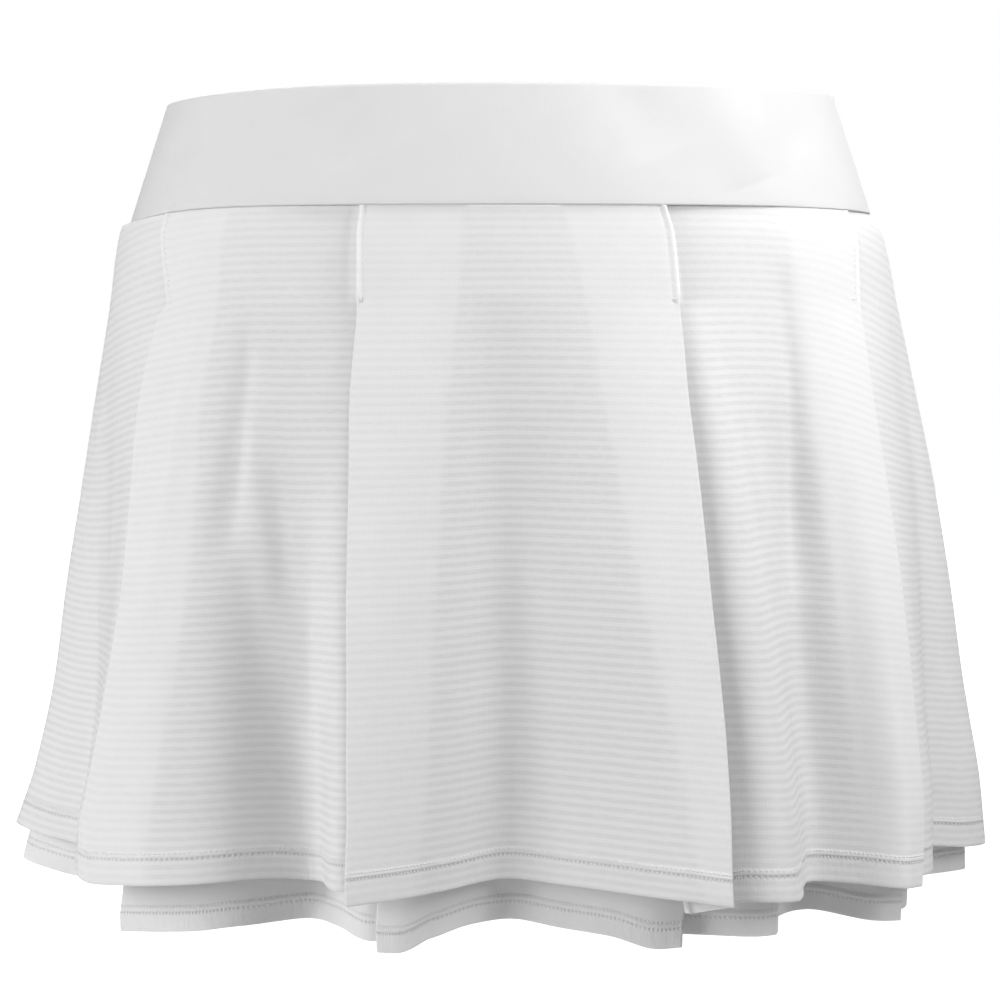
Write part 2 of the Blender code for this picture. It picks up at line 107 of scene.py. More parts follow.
world = bpy.data.worlds.new("white surroundings")
bpy.context.scene.world = world
world.use_nodes = True
tree = world.node_tree
surround = tree.nodes["Background"]
fill(surround, {"Color": WHITE, "Strength": SURROUND})
backdrop = make(tree, "ShaderNodeBackground", {"Color": WHITE})
camera_ray = make(tree, "ShaderNodeLightPath")
either = {"Fac": camera_ray, 1: surround.outputs["Background"], 2: backdrop}
fill(tree.nodes["World Output"], {"Surface": make(tree, "ShaderNodeMixShader", either)})

# Left and right in these names are as the camera sees them
for name, place_at, size, watts in (
    ("key_softbox", (0.5, -0.28, 0.45), 0.3, 3.5),
    ("close_softbox", (0.55, -0.4, 0.1), 0.3, 1.3),
    ("near_softbox", (0.75, -0.6, 0.25), 0.35, 0.7),
    ("right_back_softbox", (1.8, 1.0, 0.6), 0.8, 1.0),
    ("left_side_softbox", (-2.2, -0.5, 0.4), 1.0, 8.7),
    ("left_softbox", (-1.6, -1.4, 0.0), 0.8, 5.5),
    ("left_low_softbox", (-1.4, -1.4, -0.6), 0.6, 1.4),
    ("left_near_softbox", (-1.0, -0.6, 0.0), 0.5, 4.1),
    ("left_high_softbox", (-1.5, -1.6, 1.1), 0.8, 5.1),
    ("top_softbox", (0.0, -0.4, 1.0), 0.6, 5.1),
    ("back_softbox", (0.4, 2.3, 1.0), 1.4, 24.0),
):
    bpy.ops.object.light_add(type="AREA", location=place_at)
    lamp = bpy.context.object
    lamp.name = name
    lamp.data.size = size
    lamp.data.energy = watts
    lamp.visible_camera = False
    back = np.subtract(place_at, LIGHTS_AIM)
    across = math.hypot(back[0], back[1])
    lamp.rotation_euler = (math.atan2(across, back[2]), 0.0, math.atan2(back[0], -back[1]))


# ---------------------------------------------------------------------------------------------
# The yoke: two plies of a smooth white knit, folded at the top and sewn together into the layers
# below. A front and a back meet at the side seams. It has no elastic, opening or label outside.
# ---------------------------------------------------------------------------------------------
MM = 0.001  # the sizes of the cloth are in millimetres
YOKE_TOP = (139.3, 106.0)
YOKE_BOTTOM = (155.3, 113.5)
YOKE_DEPTH = 47.0
SIDE_DIP = {-1: 7.0, 1: 1.8}
SIDE_DIP_POWER = 8
TOP_DIP = 4.2
TOP_DIP_POWER = 3
YOKE_WALL = 1.8
YOKE_COLUMNS = 380
YOKE_ROWS = 60
ROLL_STEPS = 6
YOKE_TUCK = (0.15, 1.5)  # how far the seam pulls the yoke's edge in, and over what height
SIDE_JOINT = (0.8, 0.9)  # depth and width of the groove at each side seam
JOINT_DEGREE = 1.9  # mm to a degree at the side seams
YOKE_DEGREE = 2.6  # mm of knit to a degree
CREASE_DEGREE = math.radians(135.0)  # mm of cloth to a degree, near enough for a crease
CREASE_END = 0.02  # how a crease fades towards its ends
CREASE_POWER = 0.6

# A soft trough, or a ridge where the depth is negative, from one place on the cloth to another:
# angle round the waist and share of the way down at both ends, width across it and depth in mm
Crease = namedtuple("Crease", "angle0 share0 angle1 share1 width depth")
YOKE_CREASES = [Crease(*row) for row in (
    (35.0, -0.4, 42.0, 0.8, 15.0, -2.4),
    (16.0, -0.5, 25.0, 0.6, 14.0, 1.8),
    (-64.0, 0.25, -40.0, 0.08, 5.5, 0.9),
    (-68.0, 0.48, -44.0, 0.3, 5.0, 0.8),
    (-30.0, 0.1, -24.0, 0.7, 14.0, 1.0),
    (-57.0, 0.84, -63.0, 1.03, 1.5, 0.9),
    (-51.0, 0.87, -60.0, 0.99, 1.3, 0.7),
    (-67.0, 0.62, -59.0, 0.8, 3.0, 0.5),
    (62.0, 0.2, 44.0, 0.7, 9.0, 0.6),
    (118.0, 0.1, 139.0, 0.5, 9.0, 0.9),
    (228.0, 0.15, 205.0, 0.4, 8.0, 0.8),
    (163.0, 0.3, 196.0, 0.45, 10.0, 0.6),
    (248.0, 0.7, 238.0, 1.02, 3.0, 0.6),
)]


def mix(a, b, share):
    """The value a share of the way from a to b."""
    return a + (b - a) * share


def seam_drop(angle):
    """Depth of the yoke's lower edge, which dips towards the side seams."""
    across = np.sin(np.radians(angle))
    dip = np.where(across > 0.0, SIDE_DIP[1], SIDE_DIP[-1])
    return YOKE_DEPTH + dip * np.abs(across) ** SIDE_DIP_POWER


def place(angle, lift, half_width, half_depth, drop, shift):
    """Points of the ring at the angles, moved out by the lifts, in millimetres."""
    across = (half_width + lift) * np.sin(np.radians(angle)) + shift
    along = -(half_depth + lift) * np.cos(np.radians(angle))
    return np.stack(np.broadcast_arrays(across, along, -drop), axis=-1)


def creased(creases, angle, share, height):
    """How far the creases move the cloth out at each angle and share of the height."""
    lift = np.zeros(np.broadcast(angle, share).shape)
    for c in creases:
        run = np.array([(c.angle1 - c.angle0) * CREASE_DEGREE, (c.share1 - c.share0) * height])
        length = np.linalg.norm(run)
        across = ((angle - c.angle0 + 180.0) % 360.0 - 180.0) * CREASE_DEGREE
        down = (share - c.share0) * height
        along = np.clip((across * run[0] + down * run[1]) / length ** 2, 0.0, 1.0)
        off = np.hypot(across - along * run[0], down - along * run[1])
        fade = np.sin(math.pi * mix(CREASE_END, 1.0 - CREASE_END, along)) ** CREASE_POWER
        lift -= c.depth * fade * np.exp(-(off / c.width) ** 2)
    return lift


def grid_normals(points):
    """Outward unit normals of a grid of points whose rows go down and whose columns go round."""
    down = np.gradient(points, axis=0)
    along = np.gradient(points, axis=1)
    normal = np.cross(down, along)
    return normal / np.maximum(np.linalg.norm(normal, axis=-1, keepdims=True), 1e-12)


def cloth_object(name, points, threads, material, closed=False):
    """A sheet through a grid of points in millimetres. Threads holds the millimetres across and
    down the cloth for its first UV map, and may hold two more values for a map called sewing.
    A closed sheet has its last row joined to its first, and its two ends filled."""
    rows, width = points.shape[:2]
    corner = np.arange((rows if closed else rows - 1) * width).reshape(-1, width)[:, :-1].ravel()
    below = (corner + width) % (rows * width)
    quads = np.stack([corner, below, below + 1, corner + 1], axis=-1)
    faces = quads.tolist()
    if closed:
        faces.append([r * width for r in range(rows)])
        faces.append([r * width + width - 1 for r in reversed(range(rows))])
    mesh = bpy.data.meshes.new(name)
    mesh.from_pydata((points.reshape(-1, 3) * MM).tolist(), [], faces)
    mesh.materials.append(material)
    loops = np.empty(len(mesh.loops), np.int32)
    mesh.loops.foreach_get("vertex_index", loops)
    for first, title in zip(range(0, threads.shape[-1], 2), ("threads", "sewing")):
        layer = mesh.uv_layers.new(name=title)
        uvs = threads[..., first:first + 2].reshape(-1, 2)[loops]
        layer.data.foreach_set("uv", uvs.astype(np.float32).ravel())
    mesh.shade_smooth()
    mesh.update()
    piece = bpy.data.objects.new(name, mesh)
    bpy.context.scene.collection.objects.link(piece)
    return piece


def calculate(tree, operation, *values):
    """Adds a node that works out a number from these."""
    return make(tree, "ShaderNodeMath", dict(enumerate(values)), operation=operation)


def ramp(tree, value, low, high, at_low, at_high, shape="LINEAR"):
    """Adds a node that goes from one number to another as the value goes from low to high."""
    inputs = dict(enumerate((value, low, high, at_low, at_high)))
    return make(tree, "ShaderNodeMapRange", inputs, interpolation_type=shape)


def new_group(name, inputs, outputs):
    """A node group with these inputs and outputs, its given values and its last node."""
    group = bpy.data.node_groups.new(name, "ShaderNodeTree")
    for way, titles in (("INPUT", inputs), ("OUTPUT", outputs)):
        for title in titles:
            kind = "NodeSocketVector" if title == "Threads" else "NodeSocketFloat"
            group.interface.new_socket(title, in_out=way, socket_type=kind)
    return group, group.nodes.new("NodeGroupInput").outputs, group.nodes.new("NodeGroupOutput")


def waves(group, coordinate, pitch):
    """The angle, which a sine or cosine then takes, of waves a pitch apart along a coordinate."""
    turn = calculate(group, "MULTIPLY", coordinate, 2.0 * math.pi)
    return calculate(group, "DIVIDE", turn, pitch)


def knit_group():
    """The shared effect of all three cloths: rows of small loops and uneven yarn."""
    group, given, result = new_group("knit", ("Threads", "Wale", "Course", "Unevenness"),
                                     ("Height", "Tone"))
    threads = given["Threads"]
    split = group.nodes.new("ShaderNodeSeparateXYZ")
    fill(split, {0: threads})
    yarn = make(group, "ShaderNodeTexNoise", {"Vector": threads, "Scale": 0.9, "Detail": 3.0})
    cloud = make(group, "ShaderNodeTexNoise", {"Vector": threads, "Scale": 0.06, "Detail": 2.0})
    height = calculate(group, "MULTIPLY", yarn, given["Unevenness"])
    for axis, pitch, weight in (("X", "Wale", 0.3), ("Y", "Course", 0.2)):
        loops = calculate(group, "SINE", waves(group, split.outputs[axis], given[pitch]))
        height = calculate(group, "MULTIPLY_ADD", loops, weight, height)
    tone = calculate(group, "MULTIPLY", yarn, 0.35)
    tone = calculate(group, "MULTIPLY_ADD", cloud, 0.65, tone)
    fill(result, {"Height": height, "Tone": tone})
    return group


knit = knit_group()


def knit_material(name, dark, light, roughness, sheen, wale, course, unevenness, bump):
    """A plain knit. Returns the material and its knit node."""
    material = bpy.data.materials.new(name)
    material.use_nodes = True
    tree = material.node_tree
    weave = tree.nodes.new("ShaderNodeGroup")
    weave.node_tree = knit
    fill(weave, {"Threads": make(tree, "ShaderNodeUVMap", uv_map="threads"), "Wale": wale,
                 "Course": course, "Unevenness": unevenness})
    tone = tree.nodes.new("ShaderNodeMix")
    tone.data_type = "RGBA"
    fill(tone, {0: weave.outputs["Tone"], 6: (dark, dark, dark, 1.0), 7: (light, light, light, 1.0)})
    relief = make(tree, "ShaderNodeBump", {"Strength": bump, "Distance": 0.1 * MM,
                                           "Height": weave.outputs["Height"]})
    fill(tree.nodes["Principled BSDF"], {
        "Base Color": tone.outputs[2], "Normal": relief, "Roughness": roughness,
        "Sheen Weight": sheen, "Sheen Roughness": 0.5, "Specular IOR Level": 0.25})
    return material, weave


yoke_knit = knit_material("yoke knit", dark=0.612, light=0.662, roughness=0.6, sheen=0.12,
                          wale=0.7, course=0.55, unevenness=0.5, bump=0.25)[0]


def yoke_half(name, first, last):
    """Half of the yoke as a closed shell: outside, fold at the top, inside and sewn lower edge."""
    angle = np.linspace(first, last, YOKE_COLUMNS + 1)
    half = YOKE_WALL / 2.0
    outside = [(s, half) for s in np.linspace(1.0, 0.0, YOKE_ROWS + 1)]
    roll = [(0.0, half * math.cos(t), half * math.sin(t))
            for t in np.linspace(0.0, math.pi, ROLL_STEPS + 1)[1:-1]]
    profile = [(s, off, 0.0) for s, off in outside] + roll
    profile += [(s, -half, 0.0) for s in np.linspace(0.0, 1.0, YOKE_ROWS // 3 + 1)]
    share = np.array([p[0] for p in profile])[:, None]
    out = np.array([p[1] for p in profile])[:, None]
    rise = np.array([p[2] for p in profile])[:, None]
    lean = np.maximum(0.0, -np.sin(np.radians(angle))) ** TOP_DIP_POWER
    drop = mix(TOP_DIP * lean, seam_drop(angle), share) - rise
    tuck = YOKE_TUCK[0] * np.exp(-((1.0 - share) * YOKE_DEPTH / YOKE_TUCK[1]) ** 2)
    ends = np.minimum(angle - first, last - angle) * JOINT_DEGREE
    groove = SIDE_JOINT[0] * np.exp(-(ends / SIDE_JOINT[1]) ** 2)
    lift = out + creased(YOKE_CREASES, angle, share, YOKE_DEPTH) - tuck - groove
    points = place(angle, lift, mix(YOKE_TOP[0], YOKE_BOTTOM[0], share),
                   mix(YOKE_TOP[1], YOKE_BOTTOM[1], share), drop, 0.0)
    down = np.cumsum([0.0] + [math.hypot((b[0] - a[0]) * YOKE_DEPTH, b[1] - a[1])
                              for a, b in zip(profile, profile[1:])])
    threads = np.stack(np.broadcast_arrays(angle * YOKE_DEGREE, down[::-1, None]), axis=-1)
    return cloth_object(name, points[::-1], threads, yoke_knit, closed=True)


for half, first, last in (("front", -90.0, 90.0), ("back", 90.0, 270.0)):
    piece = yoke_half(f"yoke_{half}_knit", first, last)
    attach(piece, "root")
    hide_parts(f"yoke_{half}")


# ---------------------------------------------------------------------------------------------
# The outer layer: sheer cloth with narrow shadow stripes, cut as a front and a back. Eight pleats
# are edge-stitched for 38 mm below the yoke and hang open below that. The hem is turned up once.
# ---------------------------------------------------------------------------------------------
SEAM_GAP = 0.05  # from the yoke's edge to the layers' edges
EDGE_TILT = 0.1  # how far the turned edge of a layer stands below its top
SEAM_RISE = 0.75  # how far the cloth is drawn out at the seam, to lie flush with the yoke
SEAM_FADE = 2.5
SEAM_PITCH = 0.8
STITCHED_PITCH = 1.3
HEM_PITCH = 3.5
FOLD_PITCH = 1.6
STITCHED_SHARE = 0.14
RIDGE = (0.95, 0.9)  # height and width of a stitched edge
GROOVE = (0.22, 0.8, 1.9)  # depth and width of the groove beside it, and its distance from the edge
SIDE_RIDGE = 0.35  # how much of them there is at the side pleats
AT_SIDE = 0.8  # the sine of a pleat's angle from which it is one of them
STITCH_FADE = 0.012  # share of the height over which they end at the lowest stitch
RIDGE_PAINTED_HIGHLIGHT = 1.6  # how soon a painted highlight lightens a stitched edge's colour as it stands up
RIDGE_REACH = 6.0
RIDGE_START = -0.01
TURN_POWER = 0.8
OPENING_POWER = 1.1
FOLD_STEPS = 8
STRIPE_PITCH = 3.5
HEM_TURN = 0.35  # radius of the folded hem edge
SIDE_TURN = ((0.15, 0.05), (0.15, 0.4), (0.3, 1.6), (0.5, 3.2))  # ahead of the edge, and inwards
TOP_TURN = ((1.0, 0.1), (0.35, 0.07))  # inwards, and up
SEAM_DEGREE = 2.35  # mm of cloth to a degree at the seam, at the stitched edges and at the hem
RIDGE_DEGREE = 2.5
HEM_DEGREE = 2.8
MIDDLE_STEPS = 0.6  # points to a degree across a hidden middle ply
EDGE_STEPS = (0.5, 1.0, 1.6, 2.3, 3.2)  # distances from a fold of the points beside it
EDGE_SHARE = 0.45  # of the way to the next line, which they don't pass
SHEER_COVER = 0.86  # how much of what lies behind it the cloth hides in a sheer band
CLOSE_COVER = 0.955
PLY_EDGE = 0.8  # degrees over which the look of a ply behind sets in
THREAD_LEAN = 0.19  # mm that the threads drop for each degree behind a pleat's edge
GATHER = (2.2, 20.0)  # mm of cloth drawn together below the yoke seam, and over what height
ALLOWANCE = 2.4  # mm of turned-down seam allowance behind the cloth there, where its colour is painted lighter and its stripes fade
ALLOWANCE_EDGE = 0.8
TOP_THREADS = 0.6  # mm of cloth to a step of the turned edges
HEM_THREADS = 0.4
HEM_STEPS = 4
STITCH_PITCH = 1.5
SEAM_ROWS = (0.0, 0.4, 0.9, 1.6, 2.7)  # mm below the seam of the first rows of points
MIDDLE_START = 4.2  # mm below the seam of the first evenly spaced row
MIDDLE_END = 0.6  # the least gap, in rows, that is left above the rows at the hem
MEASURED_ROWS = 8  # the width of the cloth is measured on each eighth row
OUTER_PITCHES = (2.2, 2.0)  # mm between points across and down
HEM_ROWS = (13.0, 11.6, 10.4, 9.3, 8.2, 6.6, 5.0, 3.4, 2.0, 0.9, 0.0)  # mm above the hem
OUTER_HEM_ROWS = (9.3, 11.6)
OUTER_TURN_UP = 12.5
OUTER_DIMPLE_SHADE = 0.88  # how much light is left in a needle's dimple
DASH = (-0.6, 1.0, 0.1, 1.0)  # from the wave of the stitches to the depth of their dimples
DIMPLE_REACH = (0.95, 0.1)  # mm from the middle of a row to where its dimples start and are full
UPPER_ROW = 0.25  # depth of the upper row's dimples beside the lower row's
PUCKER_SCALE = (0.09, 0.03, 1.0)
PUCKER_BAND = (13.5, 9.0, 0.0, 0.9)  # mm above the edge, and how strong the puckers are there
TUNNEL = (4.4, 0.0, 0.0, 2.0)  # the tunnel between two rows is 4.4 mm wide, highest in its middle
STRIPE_EDGE = 0.75  # how soon a close band turns to a sheer one
PATCH_SCALE = (0.05, 0.16, 1.0)
PATCHES = (0.3, 0.7, 0.6, 1.3)  # the sheer bands are stronger in some patches than in others
FADED = 0.45  # how much of the stripes is left over a pleat's hidden plies
HIGH_FADE = (262.0, 190.0, 0.55, 1.0)  # mm above the hem, and how much is left of them there
STRIPE_RELIEF = -0.7
BACKED_PAINTED_LIGHT = 1.03  # painted light: how much lighter the cloth's colour is made over the hidden plies, and at a folded edge
# painted highlight: a stitched edge's colour is made up to this much lighter as it stands up
EDGE_PAINTED_HIGHLIGHT = (1.0, 2.6, 1.0, 1.16)
SIDE_SINK = {-1: 14.0, 1: 21.0}  # how far the stripes sink at each side seam
SINK_POWER = 8
SINK_FADE = ((0.0, 0.55), (0.2, 1.0), (0.5, 0.62), (0.8, 0.2), (1.0, 0.0))
SIDE_SEAMS = (-90.0, 90.0, 270.0)

Section = namedtuple("Section", "drop half_width half_depth shift")
OUTER_SECTIONS = [Section(*row) for row in (
    (47.3, 155.3, 113.5, 0.0),
    (58.0, 162.6, 115.0, 0.5),
    (85.0, 168.3, 118.5, 1.5),
    (125.0, 175.9, 123.5, 2.6),
    (165.0, 182.8, 128.0, 3.7),
    (205.0, 188.9, 133.0, 3.9),
    (245.0, 193.8, 137.5, 4.2),
    (280.0, 200.3, 141.5, 3.6),
    (313.0, 207.2, 146.0, 0.0),
)]
OUTER_HEM = 313.0

# Angles of a pleat's folds at the seam and the hem, and how far they stand out and hang down at
# the hem. Left and right in the names are as seen from the front.
Pleat = namedtuple(
    "Pleat",
    "name seam_fold seam_inner hem_fold hem_inner hem_under fold_lift inner_lift under_lift "
    "fold_drop inner_drop under_drop",
)
OUTER_PLEATS = [Pleat(*row) for row in (
    ("left side", -60.0, -44.0, -50.0, -39.5, -51.0, 12.0, 2.0, 6.0, 1.0, 0.0, 0.0),
    ("left front", -20.7, -5.1, -14.9, -9.0, -17.0, 20.0, -4.0, 4.0, 2.0, -1.0, -1.0),
    ("right front", 24.5, 8.7, 22.7, 20.3, 25.0, 24.0, 4.0, 16.5, 3.0, 7.4, 2.5),
    ("right side", 66.5, 46.3, 46.8, 42.0, 49.5, 21.5, 3.5, 12.5, 2.0, 0.0, 0.0),
    ("right back side", 113.0, 131.0, 130.0, 141.5, 128.5, 14.0, 2.0, 7.0, 1.0, 0.0, 0.0),
    ("right back", 157.0, 172.5, 163.0, 171.0, 161.5, 19.0, -1.0, 3.0, 2.0, 1.0, 1.0),
    ("left back", 202.5, 187.0, 197.5, 190.0, 199.5, 22.0, -1.0, 4.0, 3.0, 2.0, 2.0),
    ("left back side", 246.0, 229.0, 231.0, 220.5, 232.5, 15.0, 3.0, 8.0, 1.0, 0.0, 0.0),
)]

# A line of the cloth: its angles at the seam and the hem, its lift and drop at the hem, and the
# share of the height where it starts to leave the stitched form
Wave = namedtuple("Wave", "seam hem lift drop start", defaults=(STITCHED_SHARE,))
OUTER_WAVES = [Wave(*row) for row in (
    (-90.0, -90.0, 1.5, -6.0),
    (-83.0, -83.5, -11.0, -3.0),
    (-76.0, -77.1, -24.0, -1.0),
    (-68.0, -63.5, -14.0, 0.0),
    (-56.0, -47.5, 14.0, 2.0),
    (-50.5, -41.5, 13.0, 1.0),
    (-45.0, -35.5, 5.0, 0.0),
    (-40.0, -29.0, -9.0, -1.5),
    (-31.0, -23.5, -24.0, 0.5),
    (-5.1, -7.2, 0.5, -0.5),
    (1.0, 0.8, -18.0, -2.5),
    (8.7, 9.2, -6.0, -1.5),
    (18.5, 18.6, 17.0, 1.0),
    (26.6, 29.6, 26.0, 2.0),
    (36.0, 33.0, 14.0, -0.5),
    (43.1, 37.5, 3.5, 0.0),
    (50.5, 41.4, 9.0, 1.0),
    (59.0, 44.6, 22.5, 2.0),
    (74.0, 61.0, -6.0, 0.0),
    (79.5, 76.5, -22.0, 0.0),
    (84.5, 82.5, -9.0, 2.0),
    (90.0, 90.0, 0.0, 3.0),
    (96.0, 97.0, -9.0, 1.0),
    (101.0, 103.5, -19.0, 0.0),
    (106.5, 116.5, -8.0, 0.0),
    (119.0, 133.5, 15.0, 1.0),
    (131.0, 140.5, 13.5, 0.0),
    (140.0, 148.0, -12.0, -1.0),
    (148.5, 155.0, -14.0, -1.0),
    (172.5, 171.5, 7.0, -1.0),
    (180.0, 180.0, -11.0, -4.0),
    (187.0, 187.5, 2.0, -1.0),
    (196.0, 194.5, 17.0, 1.0),
    (211.0, 205.0, 4.0, 1.0),
    (220.0, 212.5, -14.0, -1.0),
    (229.0, 220.2, 11.0, 0.0),
    (238.0, 226.5, 15.0, 1.0),
    (253.5, 243.0, -9.0, 0.0),
    (259.5, 257.0, -20.0, -2.0),
    (264.5, 263.5, -9.0, -4.0),
)]
# How far the outer layer's cloth swings aside on its way down, in degrees, at these shares of its
# height, for the line that starts at an angle at the seam. Between these lines it is blended.
SWAY_SHARES = (0.0, 0.14, 0.3, 0.55, 0.75, 0.9, 1.0)
Sway = namedtuple("Sway", "seam at_seam stitched third middle knee low hem")
OUTER_SWAYS = [Sway(*row) for row in (
    (-90.0, 0.0, 0.0, 0.0, 0.0, 0.0, 0.0, 0.0),
    (-60.0, 0.5, 0.8, -0.9, 0.0, -2.1, -2.7, 0.0),
    (-20.7, 0.3, -0.3, -1.4, -1.6, -1.5, -0.9, 0.0),
    (24.5, 0.0, -0.1, -0.5, -0.4, -0.1, -0.3, 0.0),
    (66.5, -1.5, -3.2, -3.1, -1.5, -0.3, 0.0, 0.0),
    (90.0, 0.0, 0.0, 0.0, 0.0, 0.0, 0.0, 0.0),
)]
OUTER_CREASES = [Crease(*row) for row in (
    (-38.0, 0.2, -34.0, 0.6, 6.0, 1.2),
    (-28.0, 0.25, -33.0, 0.7, 7.0, -1.0),
    (-12.0, 0.5, -9.0, 0.95, 8.0, 0.8),
    (3.0, 0.35, 1.0, 0.75, 9.0, 0.8),
    (15.0, 0.45, 17.0, 0.9, 7.0, -0.8),
    (33.0, 0.3, 36.0, 0.8, 5.0, -0.9),
    (50.0, 0.35, 46.0, 0.75, 6.0, -1.0),
    (-75.0, 0.3, -70.0, 0.7, 6.0, 0.9),
    (72.0, 0.1, 84.0, 0.35, 6.0, 0.8),
    (125.0, 0.3, 128.0, 0.7, 7.0, 0.9),
    (143.0, 0.25, 149.0, 0.65, 6.0, 1.1),
    (176.0, 0.4, 179.0, 0.8, 8.0, 0.9),
    (207.0, 0.35, 204.0, 0.8, 6.0, -0.9),
    (224.0, 0.25, 217.0, 0.7, 6.0, 1.0),
    (262.0, 0.3, 258.0, 0.7, 7.0, 0.8),
)]
# Deeper troughs, and ridges, that all the plies of both layers share. Here the angles are those
# where the cloth hangs, and the shares are of the outer layer's depth below the waist.
VALLEYS = [Crease(*row) for row in (
    (43.0, 0.24, 38.6, 0.62, 5.0, 4.4),
    (38.2, 0.45, 36.0, 1.2, 12.0, 7.2),
    (26.8, 0.3, 28.4, 0.95, 6.0, -3.6),
    (-37.2, 0.3, -38.4, 0.6, 4.5, 3.4),
    (-38.2, 0.5, -23.6, 1.15, 9.0, 5.2),
    (-46.0, 0.28, -48.0, 0.72, 4.0, -1.4),
    (-1.8, 0.26, 1.0, 1.3, 15.0, 6.0),
    (147.0, 0.25, 151.5, 1.25, 8.0, 3.6),
    (180.6, 0.32, 180.0, 1.25, 10.0, 3.0),
    (217.5, 0.28, 213.0, 1.25, 8.0, 3.4),
    (231.0, 0.3, 226.0, 0.8, 4.5, -1.4),
)]
EDGE_PULLS = {-60.0: 3.6, 113.0: 2.8, 246.0: -3.2}
PULL_WIDTH = 9.0
SPRING = ((0.6, 0.01), (0.4, 0.09))  # parts of a pull, and how soon each ends below the stitches
Line = namedtuple("Line", "seam hem ply lift start drop")
Half = namedtuple("Half", "points threads shares height folds")  # threads: see the grid


def smooth(x, xs, ys):
    """Values at x of a curve through the points (xs, ys) that never overshoots them."""
    xs, ys = np.asarray(xs, float), np.asarray(ys, float)
    widths = np.diff(xs)
    slopes = np.diff(ys) / widths
    before, after = slopes[:-1], slopes[1:]
    same_way = before * after > 0.0
    total = np.where(same_way, before + after, 1.0)
    inner = np.where(same_way, 2.0 * before * after / total, 0.0)
    tangents = np.concatenate(([slopes[0]], inner, [slopes[-1]]))
    i = np.clip(np.searchsorted(xs, x, side="right") - 1, 0, len(widths) - 1)
    u = np.clip((x - xs[i]) / widths[i], 0.0, 1.0)
    start = (1.0 + 2.0 * u) * (1.0 - u) ** 2 * ys[i]
    end = u * u * (3.0 - 2.0 * u) * ys[i + 1]
    lean = widths[i] * u * (1.0 - u) * ((1.0 - u) * tangents[i] - u * tangents[i + 1])
    return start + end + lean


def fold_arc(before, start, end):
    """Half a turn of cloth from start to end, round the far side of the way before goes to start."""
    centre, spoke = (start + end) / 2.0, (start - end) / 2.0
    radius = math.hypot(spoke[0], spoke[1])
    ahead = np.array([spoke[1], -spoke[0], 0.0]) / radius
    if np.dot(ahead, start - before) < 0.0:
        ahead = -ahead
    turn = np.linspace(0.0, math.pi, FOLD_STEPS + 1)[1:-1, None]
    return centre + spoke * np.cos(turn) + ahead * radius * np.sin(turn)


